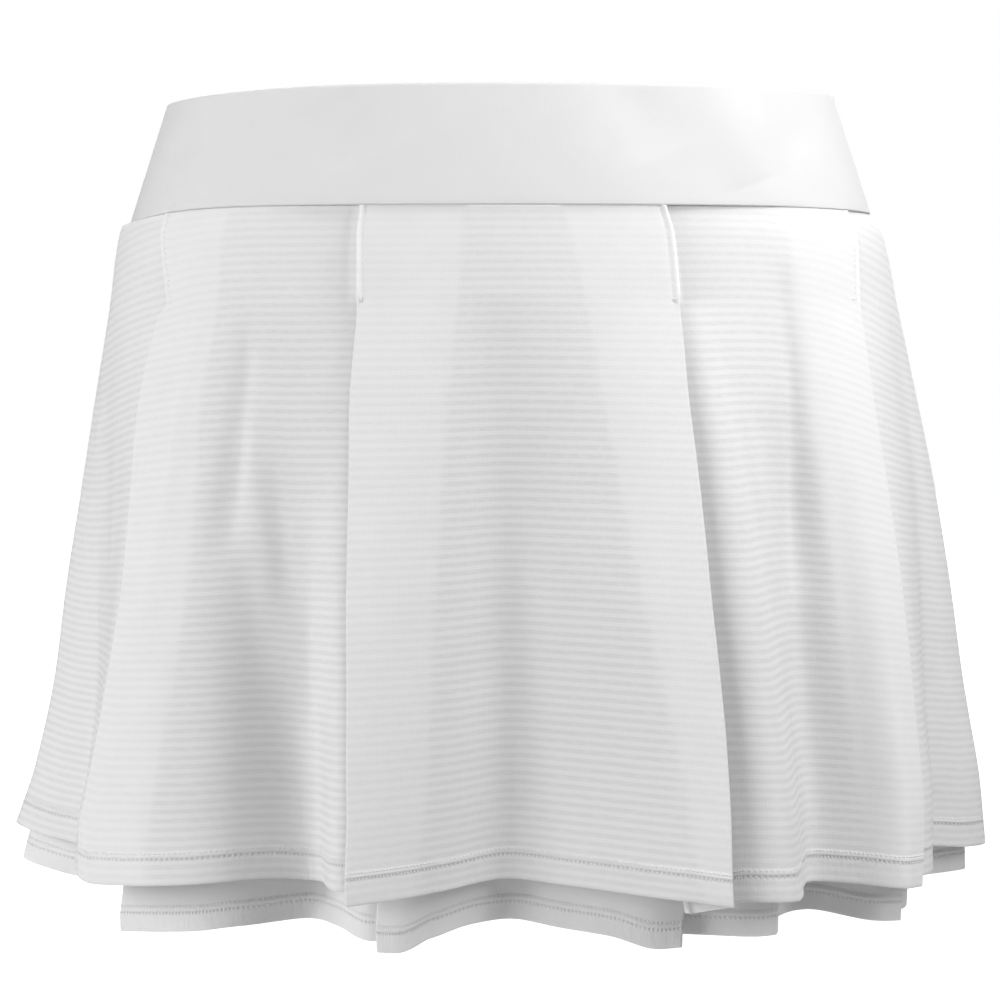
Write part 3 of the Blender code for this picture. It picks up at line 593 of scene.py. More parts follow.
class Layer:
    """One pleated layer: panels of cloth lines joined by folds, as a grid of points."""

    def __init__(self, sections, pleats, waves, sways, creases, first_ply, hem, pitches, edge_pulls):
        self.sections = np.array(sections)
        self.pleats = pleats
        self.sways = sways
        self.creases = creases
        self.first_ply = first_ply
        self.hem = hem
        self.pitch, self.row_pitch = pitches
        self.edge_pulls = edge_pulls
        self.panels = [self.panel(i, waves) for i in range(len(pleats))]
        self.stations = [self.panel_stations(lines) for lines in self.panels]
        self.split = None
        self.folds = []

    def beside(self, i):
        """The pleats before and after panel i, and the degrees to add to the one after."""
        turn = 360.0 if i + 1 == len(self.pleats) else 0.0
        return self.pleats[i], self.pleats[(i + 1) % len(self.pleats)], turn

    def panel(self, i, waves):
        """The lines of the panel between pleat i and the next one, in the order of their angles."""
        before, after, turn = self.beside(i)
        top, bottom = self.first_ply, self.first_ply + 2
        if before.seam_inner > before.seam_fold:
            lines = [self.pleat_line(before, "fold", top)]
            knots = [(before.seam_fold, top), (before.seam_inner, top)]
        else:
            lines = [self.pleat_line(before, ply, bottom) for ply in ("inner", "under")]
            knots = [(before.seam_inner, bottom), (before.seam_fold, bottom)]
        if after.seam_inner > after.seam_fold:
            lines += [self.pleat_line(after, ply, bottom, turn) for ply in ("under", "inner")]
            knots += [(after.seam_fold + turn, bottom), (after.seam_inner + turn, bottom)]
        else:
            lines.append(self.pleat_line(after, "fold", top, turn))
            knots += [(after.seam_inner + turn, top), (after.seam_fold + turn, top)]
        for wave in waves:
            shift = turn if wave.seam < before.seam_fold else 0.0
            seam = wave.seam + shift
            if before.seam_fold < seam < after.seam_fold + turn:
                ply = float(np.interp(seam, *zip(*knots)))
                lines.append(Line(seam, wave.hem + shift, ply, wave.lift, wave.start, wave.drop))
        return sorted(lines, key=lambda line: line.seam)

    @staticmethod
    def pleat_line(pleat, kind, ply, turn=0.0):
        """The line of a pleat's fold, of its inner fold, or of the cloth under its fold."""
        seam = pleat.seam_inner if kind == "inner" else pleat.seam_fold
        titles = f"hem_{kind}", f"{kind}_lift", f"{kind}_drop"
        hem, lift, drop = (getattr(pleat, title) for title in titles)
        return Line(seam + turn, hem + turn, ply, lift, STITCHED_SHARE, drop)

    def sway(self, seam_angle, share):
        """Degrees that a line has swung aside a share of the way down."""
        if not self.sways:
            return 0.0
        seams = [sway.seam for sway in self.sways]
        swings = [smooth(share, SWAY_SHARES, sway[1:]) for sway in self.sways]
        return float(smooth((seam_angle + 180.0) % 360.0 - 180.0, seams, swings))

    def line_at(self, line, share):
        """Angle and lift of a line a share of the way down."""
        angle = mix(line.seam, line.hem, share ** TURN_POWER) + self.sway(line.seam, share)
        stitched = min(share / STITCHED_SHARE, 1.0)
        sewn_lift = -line.ply * mix(SEAM_PITCH, STITCHED_PITCH, stitched)
        opening = max(0.0, (share - line.start) / (1.0 - line.start)) ** OPENING_POWER
        return angle, mix(sewn_lift, line.lift, opening)

    def panel_stations(self, lines):
        """Where a panel's points lie: close together beside its folds and a side seam, and then
        a pitch apart. Each is a line's number and a share of the way to the next line."""
        found = []
        for i, (line, after) in enumerate(zip(lines, lines[1:])):
            width = max((after.seam - line.seam) * SEAM_DEGREE, abs(after.hem - line.hem) * HEM_DEGREE)
            steps = max(2, round(width / self.pitch))
            parts = set(np.linspace(0.0, 1.0, steps + 1)[:-1].round(4))
            if i == 0 or line.seam in SIDE_SEAMS:
                parts |= {round(d / width, 4) for d in EDGE_STEPS if d < EDGE_SHARE * width}
            if i == len(lines) - 2 or after.seam in SIDE_SEAMS:
                parts |= {round(1.0 - d / width, 4) for d in EDGE_STEPS if d < EDGE_SHARE * width}
            found += [(i, part) for part in sorted(parts)]
        found.append((len(lines) - 2, 1.0))
        return np.array(found)

    def point(self, angle, lift, seam_angle, hem_drop, share):
        top = seam_drop(seam_angle) + SEAM_GAP + EDGE_TILT
        drop = mix(top, self.hem + hem_drop, share)
        half_width = smooth(drop, self.sections[:, 0], self.sections[:, 1])
        half_depth = smooth(drop, self.sections[:, 0], self.sections[:, 2])
        shift = smooth(drop, self.sections[:, 0], self.sections[:, 3])
        lift = lift + creased(VALLEYS, angle, drop / OUTER_HEM, OUTER_HEM)
        lift = lift + SEAM_RISE * np.exp((top - drop) / SEAM_FADE)
        return place(angle + self.pull(seam_angle, share), lift, half_width, half_depth, drop, shift)

    def pull(self, seam_angle, share):
        """The edge stitching holds some pleats' edges aside, and they spring back just below it."""
        below = max(0.0, share - STITCHED_SHARE)
        hold = sum(part * math.exp(-below / reach) for part, reach in SPRING)
        hold *= min(1.0, share / STITCHED_SHARE)
        pull = 0.0
        for seam, degrees in self.edge_pulls.items():
            off = (seam_angle - seam + 180.0) % 360.0 - 180.0
            pull = pull + degrees * hold * np.exp(-(off / PULL_WIDTH) ** 2)
        return pull

    def panel_row(self, number, share):
        """The points of a panel, the angles at the seam that they belong to, and how many degrees
        each lies behind the edge of the pleat that covers it."""
        lines, stations = self.panels[number], self.stations[number]
        angles, lifts = np.array([self.line_at(line, share) for line in lines]).T
        seams = np.array([line.seam for line in lines])
        i, part = stations[:, 0].astype(int), stations[:, 1]
        angle = mix(angles[i], angles[i + 1], part)
        seam = mix(seams[i], seams[i + 1], part)
        drop = smooth(seam, seams, [line.drop for line in lines])
        lift = smooth(angle, angles, lifts) + creased(self.creases, seam, share, self.hem - YOKE_DEPTH)
        ridge = self.stitched_ridge(seam, share)
        lift += ridge
        before, after, turn = self.beside(number)
        covered = np.zeros(len(seam))
        if before.seam_inner < before.seam_fold:
            covered += np.maximum(0.0, before.seam_fold - seam)
        if after.seam_inner > after.seam_fold:
            covered += np.maximum(0.0, seam - after.seam_fold - turn)
        # a painted highlight is added where a stitched edge stands up
        behind = self.backing(number, angle, share) + RIDGE_PAINTED_HIGHLIGHT * np.maximum(0.0, ridge)
        return self.point(angle, lift, seam, drop, share), seam, covered, behind

    def backing(self, number, angle, share):
        """1 where a pleat's hidden plies lie behind a panel at these angles, and 0 elsewhere."""
        before, after, turn = self.beside(number)
        behind = np.zeros(len(angle))
        if before.seam_inner > before.seam_fold:
            edge = self.line_at(self.pleat_line(before, "inner", 0), share)[0]
            behind = np.clip((edge - angle) / PLY_EDGE + 0.5, 0.0, 1.0)
        if after.seam_inner < after.seam_fold:
            edge = self.line_at(self.pleat_line(after, "inner", 0, turn), share)[0]
            behind = np.maximum(behind, np.clip((angle - edge) / PLY_EDGE + 0.5, 0.0, 1.0))
        return behind

    def stitched_ridge(self, seam, share):
        """The edge of each pleat stands up a little where it is stitched, and dips at the stitches."""
        hold = np.clip((STITCHED_SHARE - share) / STITCH_FADE + 0.5, 0.0, 1.0)
        if hold == 0.0:
            return 0.0
        lift = np.zeros(len(seam))
        for pleat in self.pleats:
            for turn in (0.0, 360.0):
                inward = 1.0 if pleat.seam_inner > pleat.seam_fold else -1.0
                off = (seam - pleat.seam_fold - turn) * inward * RIDGE_DEGREE
                near = (off > RIDGE_START) & (off < RIDGE_REACH)
                ridge = RIDGE[0] * np.exp(-(off / RIDGE[1]) ** 2)
                ridge -= GROOVE[0] * np.exp(-((off - GROOVE[2]) / GROOVE[1]) ** 2)
                if abs(math.sin(math.radians(pleat.seam_fold))) > AT_SIDE:
                    ridge *= SIDE_RIDGE
                lift += np.where(near, ridge, 0.0)
        return lift * hold

    def middle_row(self, pleat, share):
        """The hidden middle ply of a pleat, from its inner fold to the fold that shows."""
        fold = self.pleat_line(pleat, "fold", self.first_ply + 1)
        fold = fold._replace(lift=pleat.fold_lift - FOLD_PITCH)
        inner = self.pleat_line(pleat, "inner", self.first_ply + 1)
        inner = inner._replace(lift=pleat.inner_lift + HEM_PITCH)
        (angle0, lift0), (angle1, lift1) = self.line_at(inner, share), self.line_at(fold, share)
        part = np.linspace(0.0, 1.0, max(5, round(abs(fold.seam - inner.seam) * MIDDLE_STEPS)))
        seam = mix(inner.seam, fold.seam, part)
        points = self.point(mix(angle0, angle1, part), mix(lift0, lift1, part), seam,
                            mix(inner.drop, fold.drop, part), share)
        ply = points, seam, np.abs(seam - fold.seam), np.ones(len(seam))
        return ply if pleat.seam_inner > pleat.seam_fold else tuple(p[::-1] for p in ply)

    @staticmethod
    def turn(loop, after):
        """Adds the fold from the last ply of the loop to the next one."""
        points = loop[-1][0]
        arc = fold_arc(points[-2], points[-1], after[0][0])
        loop.append((arc, *(np.full(len(arc), values[-1]) for values in loop[-1][1:])))

    def row(self, share):
        """The points round the layer from the -90 side seam, with their angles at the seam, the
        degrees that they lie behind a pleat's edge, and what lies behind them, with the painted
        highlight of stitched edges added. Notes where the folds and the other side seam are."""
        last = len(self.panels) - 1
        panel = self.panel_row(last, share)
        cut = int(np.argmin(np.abs(panel[1] - 270.0)))
        loop = [tuple(part[cut:] for part in panel)]
        tail = tuple(part[:cut + 1] for part in panel)
        self.folds = []
        for number, pleat in enumerate(self.pleats):
            if pleat.seam_inner < pleat.seam_fold:
                self.folds.append((sum(len(p[1]) for p in loop) - 1, -1))
            middle = self.middle_row(pleat, share)
            self.turn(loop, middle)
            loop.append(middle)
            panel = tail if number == last else self.panel_row(number, share)
            self.turn(loop, panel)
            start = sum(len(p[1]) for p in loop)
            if pleat.seam_inner > pleat.seam_fold:
                self.folds.append((start, 1))
            if number != last and panel[1][0] < 90.0 < panel[1][-1]:
                self.split = start + int(np.argmin(np.abs(panel[1] - 90.0)))
            loop.append(panel)
        return tuple(np.concatenate(part) for part in zip(*loop))

    def grid(self):
        """Rows of points from the yoke seam to the hem, for the front and for the back: for each
        a Half. Its threads are the millimetres across and down the cloth and above the hem, and
        the plies and seam allowance behind. They sink at the side seams, and lean in the covered plies
        of a pleat.
        The plies behind, with a painted highlight added at stitched edges, set where the colour is
        painted lighter."""
        height = self.hem - YOKE_DEPTH
        near_hem = height - np.array(HEM_ROWS)
        end = near_hem[0] - MIDDLE_END * self.row_pitch
        middle = np.arange(MIDDLE_START, end, self.row_pitch)
        shares = np.concatenate([SEAM_ROWS, middle, near_hem]) / height
        rows = [self.row(share) for share in shares]
        points = np.stack([row[0] for row in rows])
        seam, covered = rows[0][1:3]
        steps = np.linalg.norm(np.diff(points[::MEASURED_ROWS], axis=1), axis=-1).mean(axis=0)
        across = np.broadcast_to(np.concatenate(([0.0], np.cumsum(steps))), points.shape[:2])
        out = np.sin(np.radians(seam))
        sink = np.where(out > 0.0, SIDE_SINK[1], SIDE_SINK[-1]) * np.abs(out) ** SINK_POWER
        below = shares[:, None] * height
        down = below - smooth(shares, *zip(*SINK_FADE))[:, None] * sink
        down = down + covered * THREAD_LEAN + GATHER[0] * (1.0 - np.exp(-below / GATHER[1]))
        above = (1.0 - shares[:, None]) * height
        behind = np.stack([row[3] for row in rows])
        seamed = np.clip((ALLOWANCE - below) / ALLOWANCE_EDGE + 0.5, 0.0, 1.0)
        behind = np.maximum(behind, seamed)
        threads = np.stack(np.broadcast_arrays(across, down, above, behind), axis=-1)
        front = [n for n in self.folds if n[0] <= self.split]
        back = [(n - self.split, way) for n, way in self.folds if n > self.split]
        cut = self.split
        return {"front": Half(points[:, :cut + 1], threads[:, :cut + 1], shares, height, front),
                "back": Half(points[:, cut:], threads[:, cut:], shares, height, back)}


def unit(vectors):
    return vectors / np.linalg.norm(vectors, axis=-1, keepdims=True)


def sewn_sheet(name, half, turn_up, material):
    """A half of a layer: its side and top edges turned in as seam allowances, its hem turned up."""
    cloth = np.concatenate([half.points, half.threads, grid_normals(half.points)], axis=-1)
    place_of, down_of, out_of = slice(0, 3), 4, slice(-3, None)
    for end, inner in ((0, 1), (-1, -2)):
        ahead = unit(cloth[:, inner, place_of] - cloth[:, end, place_of])
        strip = np.repeat(cloth[:, end][:, None], len(SIDE_TURN), axis=1)
        for k, (forward, inward) in enumerate(SIDE_TURN):
            strip[:, k, place_of] += ahead * forward - cloth[:, end, out_of] * inward
        if end == 0:
            cloth = np.concatenate([strip[:, ::-1], cloth[:, 1:]], axis=1)
        else:
            cloth = np.concatenate([cloth[:, :-1], strip], axis=1)
    top = np.repeat(cloth[:1], len(TOP_TURN), axis=0)
    for k, (inward, rise) in enumerate(TOP_TURN):
        top[k, :, place_of] += (0.0, 0.0, rise) - cloth[0, :, out_of] * inward
        top[k, :, down_of] -= TOP_THREADS * (len(TOP_TURN) - k)
    down = unit(cloth[-1, :, place_of] - cloth[-2, :, place_of])
    bend = np.linspace(0.0, math.pi, HEM_STEPS + 2)[1:-1]
    turn = np.repeat(cloth[-1:], len(bend), axis=0)
    for k, angle in enumerate(bend):
        turn[k, :, place_of] += down * HEM_TURN * math.sin(angle)
        turn[k, :, place_of] -= cloth[-1, :, out_of] * HEM_TURN * (1.0 - math.cos(angle))
        turn[k, :, down_of] += HEM_THREADS * (k + 1)
    up = [r for r in range(len(half.shares) - 1, 0, -1)
          if (1.0 - half.shares[r]) * half.height <= turn_up]
    folded = cloth[up]
    folded[..., place_of] -= folded[..., out_of] * 2.0 * HEM_TURN
    edge = cloth[-1, :, down_of] + HEM_THREADS * HEM_STEPS / 2.0
    folded[..., down_of] = 2.0 * edge - folded[..., down_of]
    grid = np.concatenate([top, cloth, turn, folded])
    return cloth_object(name, grid[..., place_of], grid[..., 3:7], material)


def needle_group():
    """The shared effect of both hems: two rows of dimples where a twin needle goes through, and
    small puckers in the band below them."""
    group, given, result = new_group("twin needle", ("Across", "Above", "Lower", "Upper", "Pitch"),
                                     ("Dimple", "Height"))
    swing = calculate(group, "COSINE", waves(group, given["Across"], given["Pitch"]))
    dash = ramp(group, swing, *DASH)
    rows = []
    for title in ("Lower", "Upper"):
        off = calculate(group, "SUBTRACT", given["Above"], given[title])
        off = calculate(group, "ABSOLUTE", off)
        near = ramp(group, off, *DIMPLE_REACH, 0.0, 1.0, "SMOOTHSTEP")
        rows.append(calculate(group, "MULTIPLY", near, dash))
    dimple = calculate(group, "MULTIPLY_ADD", rows[1], UPPER_ROW, rows[0])
    where = make(group, "ShaderNodeCombineXYZ", {0: given["Across"], 1: given["Above"]})
    where = make(group, "ShaderNodeVectorMath", {0: where, 1: PUCKER_SCALE}, operation="MULTIPLY")
    pucker = make(group, "ShaderNodeTexNoise", {0: where}, noise_dimensions="2D")
    band = ramp(group, given["Above"], *PUCKER_BAND, "SMOOTHSTEP")
    middle = calculate(group, "ADD", given["Lower"], given["Upper"])
    off = calculate(group, "MULTIPLY", given["Above"], 2.0)
    off = calculate(group, "SUBTRACT", off, middle)
    tunnel = ramp(group, calculate(group, "ABSOLUTE", off), *TUNNEL, "SMOOTHSTEP")
    height = calculate(group, "MULTIPLY_ADD", pucker, band, tunnel)
    height = calculate(group, "SUBTRACT", height, dimple)
    fill(result, {"Dimple": dimple, "Height": height})
    return group


needle = needle_group()


def tinted(tree, tint):
    """Multiplies the colour of a material by a number."""
    shader = tree.nodes["Principled BSDF"]
    base = shader.inputs["Base Color"].links[0].from_socket
    tint = make(tree, "ShaderNodeCombineXYZ", {0: tint, 1: tint, 2: tint})
    tint = make(tree, "ShaderNodeVectorMath", {0: base, 1: tint}, operation="MULTIPLY")
    fill(shader, {"Base Color": tint})


def sew_hem(material, lower, upper, shade):
    """Marks a twin-needle hem on a knit material, at two heights in millimetres above the edge.
    The shade is how much light is left in a needle's dimple."""
    tree = material.node_tree
    threads = next(n for n in tree.nodes if n.type == "UVMAP").outputs["UV"]
    sewing = make(tree, "ShaderNodeUVMap", uv_map="sewing")
    rows = tree.nodes.new("ShaderNodeGroup")
    rows.node_tree = needle
    fill(rows, {"Across": make(tree, "ShaderNodeSeparateXYZ", {0: threads}),
                "Above": make(tree, "ShaderNodeSeparateXYZ", {0: sewing}),
                "Lower": lower, "Upper": upper, "Pitch": STITCH_PITCH})
    tinted(tree, ramp(tree, rows.outputs["Dimple"], 0.0, 1.0, 1.0, shade))
    relief = next(n for n in tree.nodes if n.type == "BUMP").outputs["Normal"]
    sewn = make(tree, "ShaderNodeBump", {"Strength": 0.75, "Distance": 0.3 * MM,
                                         "Height": rows.outputs["Height"], "Normal": relief})
    fill(tree.nodes["Principled BSDF"], {"Normal": sewn})


def striped_material():
    """Sheer knit with level stripes: a close band, a see-through band, and so on down. The stripes
    fade where a pleat's hidden plies lie behind the cloth. There its colour is painted lighter, and
    stitched edges get a painted highlight."""
    material, weave = knit_material("shadow striped cloth", dark=0.69, light=0.74, roughness=0.7,
                                    sheen=0.1, wale=0.9, course=0.8, unevenness=0.6, bump=0.3)
    tree = material.node_tree
    threads = next(n for n in tree.nodes if n.type == "UVMAP").outputs["UV"]
    split = tree.nodes.new("ShaderNodeSeparateXYZ")
    fill(split, {0: threads})
    sewing = tree.nodes.new("ShaderNodeSeparateXYZ")
    fill(sewing, {0: make(tree, "ShaderNodeUVMap", uv_map="sewing")})
    above, behind = sewing.outputs["X"], sewing.outputs["Y"]
    turn = calculate(tree, "MULTIPLY", split.outputs["Y"], 2.0 * math.pi / STRIPE_PITCH)
    swing = calculate(tree, "SINE", turn)
    band = ramp(tree, swing, STRIPE_EDGE, -STRIPE_EDGE, 0.0, 1.0, "SMOOTHSTEP")
    patches = make(tree, "ShaderNodeVectorMath", {0: threads, 1: PATCH_SCALE}, operation="MULTIPLY")
    patches = make(tree, "ShaderNodeTexNoise", {0: patches}, noise_dimensions="2D")
    sheer = calculate(tree, "MULTIPLY", band, ramp(tree, patches, *PATCHES))
    sheer = calculate(tree, "MULTIPLY", sheer, ramp(tree, behind, 0.0, 1.0, 1.0, FADED))
    sheer = calculate(tree, "MULTIPLY", sheer, ramp(tree, above, *HIGH_FADE))
    cover = ramp(tree, sheer, 0.0, 1.0, CLOSE_COVER, SHEER_COVER)
    fill(tree.nodes["Principled BSDF"], {"Alpha": cover})
    raised = calculate(tree, "MULTIPLY_ADD", sheer, STRIPE_RELIEF, weave.outputs["Height"])
    fill(next(n for n in tree.nodes if n.type == "BUMP"), {"Height": raised})
    # painted light: the colour is made lighter over the hidden plies and the seam allowance, with a
    # painted highlight on stitched edges
    painted_backing_light = ramp(tree, behind, 0.0, 1.0, 1.0, BACKED_PAINTED_LIGHT)
    tinted(tree, calculate(tree, "MULTIPLY", painted_backing_light, ramp(tree, behind, *EDGE_PAINTED_HIGHLIGHT)))
    return material


outer = Layer(OUTER_SECTIONS, OUTER_PLEATS, OUTER_WAVES, OUTER_SWAYS, OUTER_CREASES, 0, OUTER_HEM,
              OUTER_PITCHES, EDGE_PULLS)
outer_halves = outer.grid()
striped_cloth = striped_material()
sew_hem(striped_cloth, *OUTER_HEM_ROWS, OUTER_DIMPLE_SHADE)
for half, grid in outer_halves.items():
    piece = sewn_sheet(f"outer_{half}_cloth", grid, OUTER_TURN_UP, striped_cloth)
    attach(piece, "root")
    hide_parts(f"outer_{half}")


# ---------------------------------------------------------------------------------------------
# The outer layer's sewing: two rows of needle stitches hold the turned-up hem, and one row lies
# beside the edge of each pleat, down to a bar tack.
# ---------------------------------------------------------------------------------------------
STITCH_LENGTH = 1.05
THREAD_RADIUS = 0.18
EDGE_STITCH = 1.9
EDGE_PITCH = 2.3
TACK_ROWS = (0.0, 0.5, 1.0, 1.5)  # mm from one to the next down a bar tack
TACK_PITCH = 1.2
THREAD_LIFT = 0.06  # of the middle of the thread above the cloth
Stitch = namedtuple("Stitch", "points ahead out")

bpy.ops.object.select_all(action="DESELECT")
bpy.ops.mesh.primitive_uv_sphere_add(segments=6, ring_count=4, radius=1.0)
one_stitch = bpy.context.object
bpy.ops.object.mode_set(mode="EDIT")
bpy.ops.mesh.select_all(action="SELECT")
bpy.ops.transform.rotate(value=math.pi / 2.0, orient_axis="Y", center_override=(0.0, 0.0, 0.0))
bpy.ops.transform.resize(value=(STITCH_LENGTH / 2.0, THREAD_RADIUS, THREAD_RADIUS))
bpy.ops.object.mode_set(mode="OBJECT")
stitch_points = np.array([v.co for v in one_stitch.data.vertices])
stitch_faces = [tuple(p.vertices) for p in one_stitch.data.polygons]
bpy.data.objects.remove(one_stitch)

thread = bpy.data.materials.new("sewing thread")
thread.use_nodes = True
tree = thread.node_tree
twist = tree.nodes.new("ShaderNodeTexWave")
fill(twist, {"Vector": tree.nodes.new("ShaderNodeTexCoord").outputs["Object"], "Scale": 900.0,
             "Distortion": 1.5})
twist = twist.outputs["Fac"]
yarn_tone = make(tree, "ShaderNodeMapRange", {"Value": twist, "To Min": 0.7, "To Max": 0.78})
ply = make(tree, "ShaderNodeBump", {"Strength": 0.3, "Distance": 0.05 * MM, "Height": twist})
fill(tree.nodes["Principled BSDF"], {"Roughness": 0.45, "Base Color": yarn_tone, "Normal": ply})


def along_row(points, normal, pitch, run=None):
    """Stitches a pitch apart along a row of points, lying on the cloth. The run is how far along
    each point is, and is measured if it isn't given."""
    if run is None:
        run = np.concatenate(([0.0], np.cumsum(np.linalg.norm(np.diff(points, axis=0), axis=1))))
    at = np.arange(math.ceil(run[0] / pitch) + 0.5, run[-1] / pitch) * pitch

    def sample(values):
        return np.stack([np.interp(at, run, values[:, i]) for i in range(3)], axis=1)

    ahead = sample(np.gradient(points, axis=0))
    out = sample(normal)
    return Stitch(sample(points) + out * THREAD_LIFT, ahead, out)


def hem_row(half, above_hem):
    """A row of stitches at a height above the hem of a half."""
    at = 1.0 - above_hem / half.height
    r = int(np.searchsorted(half.shares, at)) - 1
    part = (at - half.shares[r]) / (half.shares[r + 1] - half.shares[r])
    normal = grid_normals(half.points)
    return along_row(mix(half.points[r], half.points[r + 1], part),
                     mix(normal[r], normal[r + 1], part), STITCH_PITCH, half.threads[r, :, 0])


def sew(name, rows):
    """All the stitches of the rows as one joined mesh, which goes with its cloth."""
    places = np.concatenate([row.points for row in rows])
    ahead = np.concatenate([row.ahead for row in rows])
    out = np.concatenate([row.out for row in rows])
    ahead /= np.linalg.norm(ahead, axis=1, keepdims=True)
    side = np.cross(out, ahead)
    side /= np.linalg.norm(side, axis=1, keepdims=True)
    out = np.cross(ahead, side)
    frames = np.stack([ahead, side, out], axis=1)
    vertices = places[:, None] + np.einsum("vk,nkj->nvj", stitch_points, frames)
    faces = [tuple(v + n * len(stitch_points) for v in face)
             for n in range(len(places)) for face in stitch_faces]
    mesh = bpy.data.meshes.new(name)
    mesh.from_pydata((vertices.reshape(-1, 3) * MM).tolist(), [], faces)
    mesh.materials.append(thread)
    mesh.shade_smooth()
    piece = bpy.data.objects.new(name, mesh)
    bpy.context.scene.collection.objects.link(piece)
    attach(piece, "root")
    return piece


def pleat_rows(half):
    """The row of stitches beside the edge of each pleat, and the bar tack at its lower end."""
    normal = grid_normals(half.points)
    last = int(np.searchsorted(half.shares, STITCHED_SHARE))
    rows = []
    for fold, way in half.folds:
        run = half.threads[0, :, 0] * way
        column = int(np.argmin(np.abs(run - run[fold] - EDGE_STITCH)))
        rows.append(along_row(half.points[1:last, column], normal[1:last, column], EDGE_PITCH))
        tack = half.points[last - 1, [column - 2 * way, column + 2 * way]]
        for lower in TACK_ROWS:
            rows.append(along_row(tack - (0.0, 0.0, lower), normal[last - 1, [column] * 2],
                                  TACK_PITCH))
    return rows


for half, grid in outer_halves.items():
    rows = [hem_row(grid, above) for above in OUTER_HEM_ROWS] + pleat_rows(grid)
    stitches = sew(f"outer_{half}_stitches", rows)


# ---------------------------------------------------------------------------------------------
# The under layer: plain close white knit, cut and pleated as the outer layer is, and about 18 mm
# longer, so that its own twin-needle hem shows below.
# ---------------------------------------------------------------------------------------------
UNDER_FIRST_PLY = 3
UNDER_HEM = 331.0
UNDER_HEM_ROWS = (7.0, 9.7)
UNDER_TURN_UP = 10.0
UNDER_DIMPLE_SHADE = 0.84
UNDER_PITCHES = (2.8, 2.8)
UNDER_SECTIONS = [Section(*row) for row in (
    (47.3, 155.3, 113.5, 0.0),
    (58.0, 161.8, 114.2, 0.5),
    (85.0, 167.1, 116.0, 1.4),
    (125.0, 173.7, 117.5, 2.4),
    (165.0, 180.1, 119.0, 3.5),
    (205.0, 185.9, 120.5, 3.8),
    (245.0, 190.4, 122.0, 4.2),
    (280.0, 195.5, 123.0, 4.0),
    (331.0, 201.0, 124.0, 0.0),
)]
UNDER_PLEATS = [Pleat(*row) for row in (
    ("left side", -60.0, -44.0, -45.5, -36.5, -49.5, 12.0, 1.0, 4.0, 5.5, -4.0, -12.5),
    ("left front", -20.7, -5.1, -12.9, -5.3, -14.4, 12.0, -6.0, 2.5, 7.0, -3.0, 4.5),
    ("right front", 24.5, 8.7, 19.0, 12.9, 20.5, 16.0, -1.0, 7.5, 5.0, -1.0, 1.5),
    ("right side", 66.5, 46.3, 47.9, 40.8, 51.0, 15.5, -1.5, 7.0, 1.5, -3.0, -1.0),
    ("right back side", 113.0, 131.0, 131.0, 141.0, 127.5, 11.0, 0.0, 4.0, 3.0, -2.0, 0.0),
    ("right back", 157.0, 172.5, 165.0, 172.0, 163.5, 11.0, -6.0, 2.0, 5.0, -3.0, 2.0),
    ("left back", 202.5, 187.0, 195.5, 188.5, 197.0, 13.0, -4.5, 4.0, 5.0, -2.0, 2.0),
    ("left back side", 246.0, 229.0, 230.0, 220.5, 233.0, 12.0, 0.5, 4.5, 2.0, -2.0, -1.0),
)]
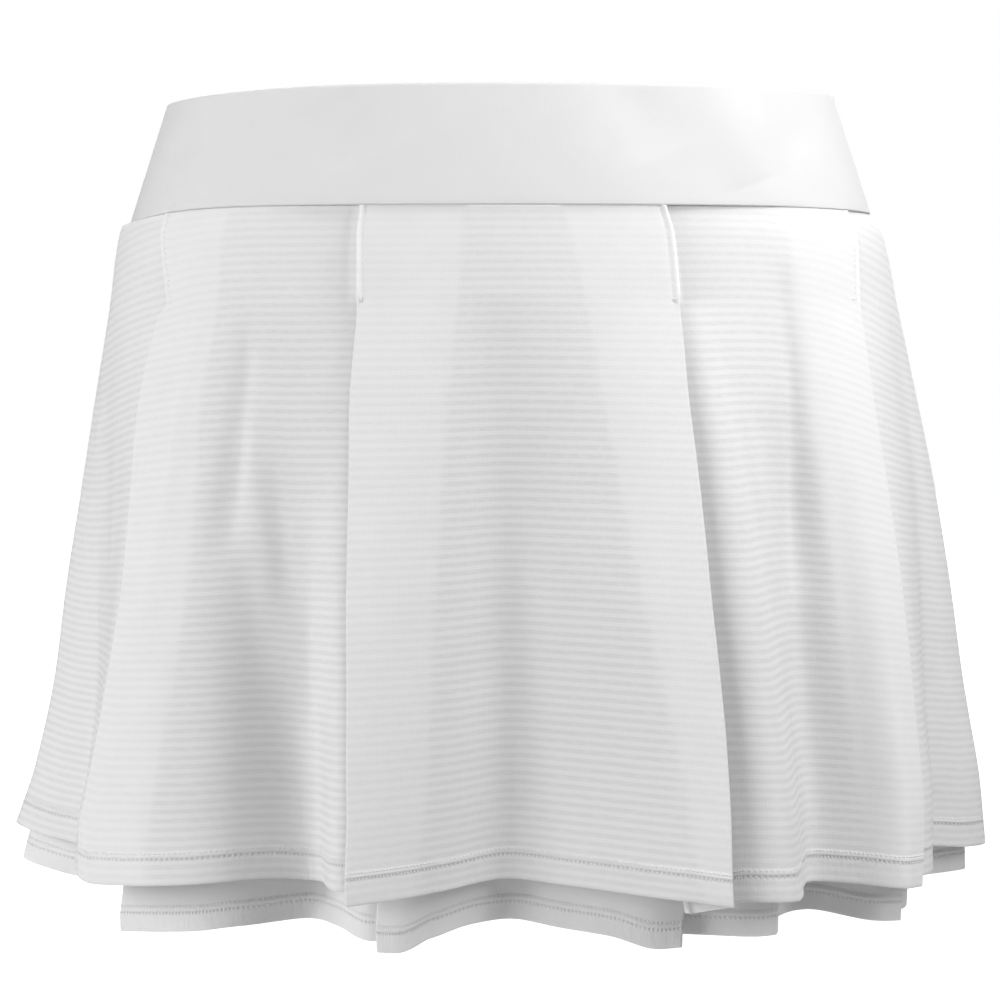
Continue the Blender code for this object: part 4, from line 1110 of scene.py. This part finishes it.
UNDER_WAVES = [Wave(*row) for row in (
    (-90.0, -90.0, 4.5, -9.0),
    (-85.5, -84.0, -9.0, -5.5),
    (-81.0, -80.0, -20.0, -3.5),
    (-75.0, -73.8, -27.0, -6.0),
    (-68.0, -60.5, -16.0, -9.0),
    (-44.0, -35.2, 9.0, 3.0),
    (-37.5, -30.8, 4.0, 1.0),
    (-30.5, -24.7, -11.0, 0.0, 0.2),
    (-25.5, -19.5, -6.0, 1.0, 0.2),
    (-14.0, -10.9, 12.5, 7.0),
    (-5.1, -7.7, 9.5, 2.0),
    (-1.0, -3.4, 1.0, -2.0),
    (3.0, 1.2, -5.0, -3.0, 0.2),
    (8.7, 6.5, 0.5, -1.0),
    (16.0, 11.7, 8.5, 1.0),
    (21.5, 16.5, 15.5, 5.5),
    (29.0, 26.0, 19.0, 1.5),
    (33.0, 28.8, 24.0, 0.5),
    (38.0, 31.2, 9.5, -2.5),
    (46.3, 38.1, 3.0, -3.5),
    (56.0, 45.0, 13.5, 1.0),
    (74.0, 61.0, -14.0, -4.0),
    (79.5, 73.5, -27.0, -4.0),
    (83.0, 80.0, -20.0, -4.0),
    (86.5, 84.5, -11.0, -4.0),
    (90.0, 90.0, -2.0, -4.0),
    (94.0, 95.5, -11.0, -3.0),
    (99.0, 102.0, -25.0, -2.0),
    (105.5, 117.0, -15.0, 0.0),
    (122.0, 134.5, 12.0, 2.0),
    (131.0, 140.5, 8.0, 1.0),
    (140.0, 149.0, -10.0, -1.0, 0.2),
    (148.5, 156.5, -8.0, 0.0, 0.2),
    (164.0, 168.0, 10.0, 3.0),
    (172.5, 174.0, 3.0, 0.0),
    (180.0, 180.5, -6.0, -2.0, 0.2),
    (187.0, 187.5, 4.0, 0.0),
    (211.0, 203.5, 6.0, 1.0, 0.2),
    (220.0, 211.0, -12.0, -1.0, 0.2),
    (229.0, 220.0, 8.0, 1.0),
    (238.0, 226.0, 12.0, 2.0),
    (254.0, 243.0, -15.0, -3.0),
    (260.0, 257.0, -26.0, -7.0),
    (265.0, 264.0, -12.0, -10.0),
)]
UNDER_CREASES = [Crease(*row) for row in (
    (-29.5, 0.7, -28.5, 1.15, 9.0, 5.0),
)]

under = Layer(UNDER_SECTIONS, UNDER_PLEATS, UNDER_WAVES, (), UNDER_CREASES, UNDER_FIRST_PLY,
              UNDER_HEM, UNDER_PITCHES, EDGE_PULLS)
under_halves = under.grid()
plain_knit = knit_material("plain knit", dark=0.72, light=0.77, roughness=0.65, sheen=0.12,
                           wale=0.8, course=0.7, unevenness=0.6, bump=0.3)[0]
sew_hem(plain_knit, *UNDER_HEM_ROWS, UNDER_DIMPLE_SHADE)
for half, grid in under_halves.items():
    piece = sewn_sheet(f"under_{half}_cloth", grid, UNDER_TURN_UP, plain_knit)
    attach(piece, "root")
    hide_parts(f"under_{half}")
    rows = [hem_row(grid, above) for above in UNDER_HEM_ROWS]
    stitches = sew(f"under_{half}_stitches", rows)
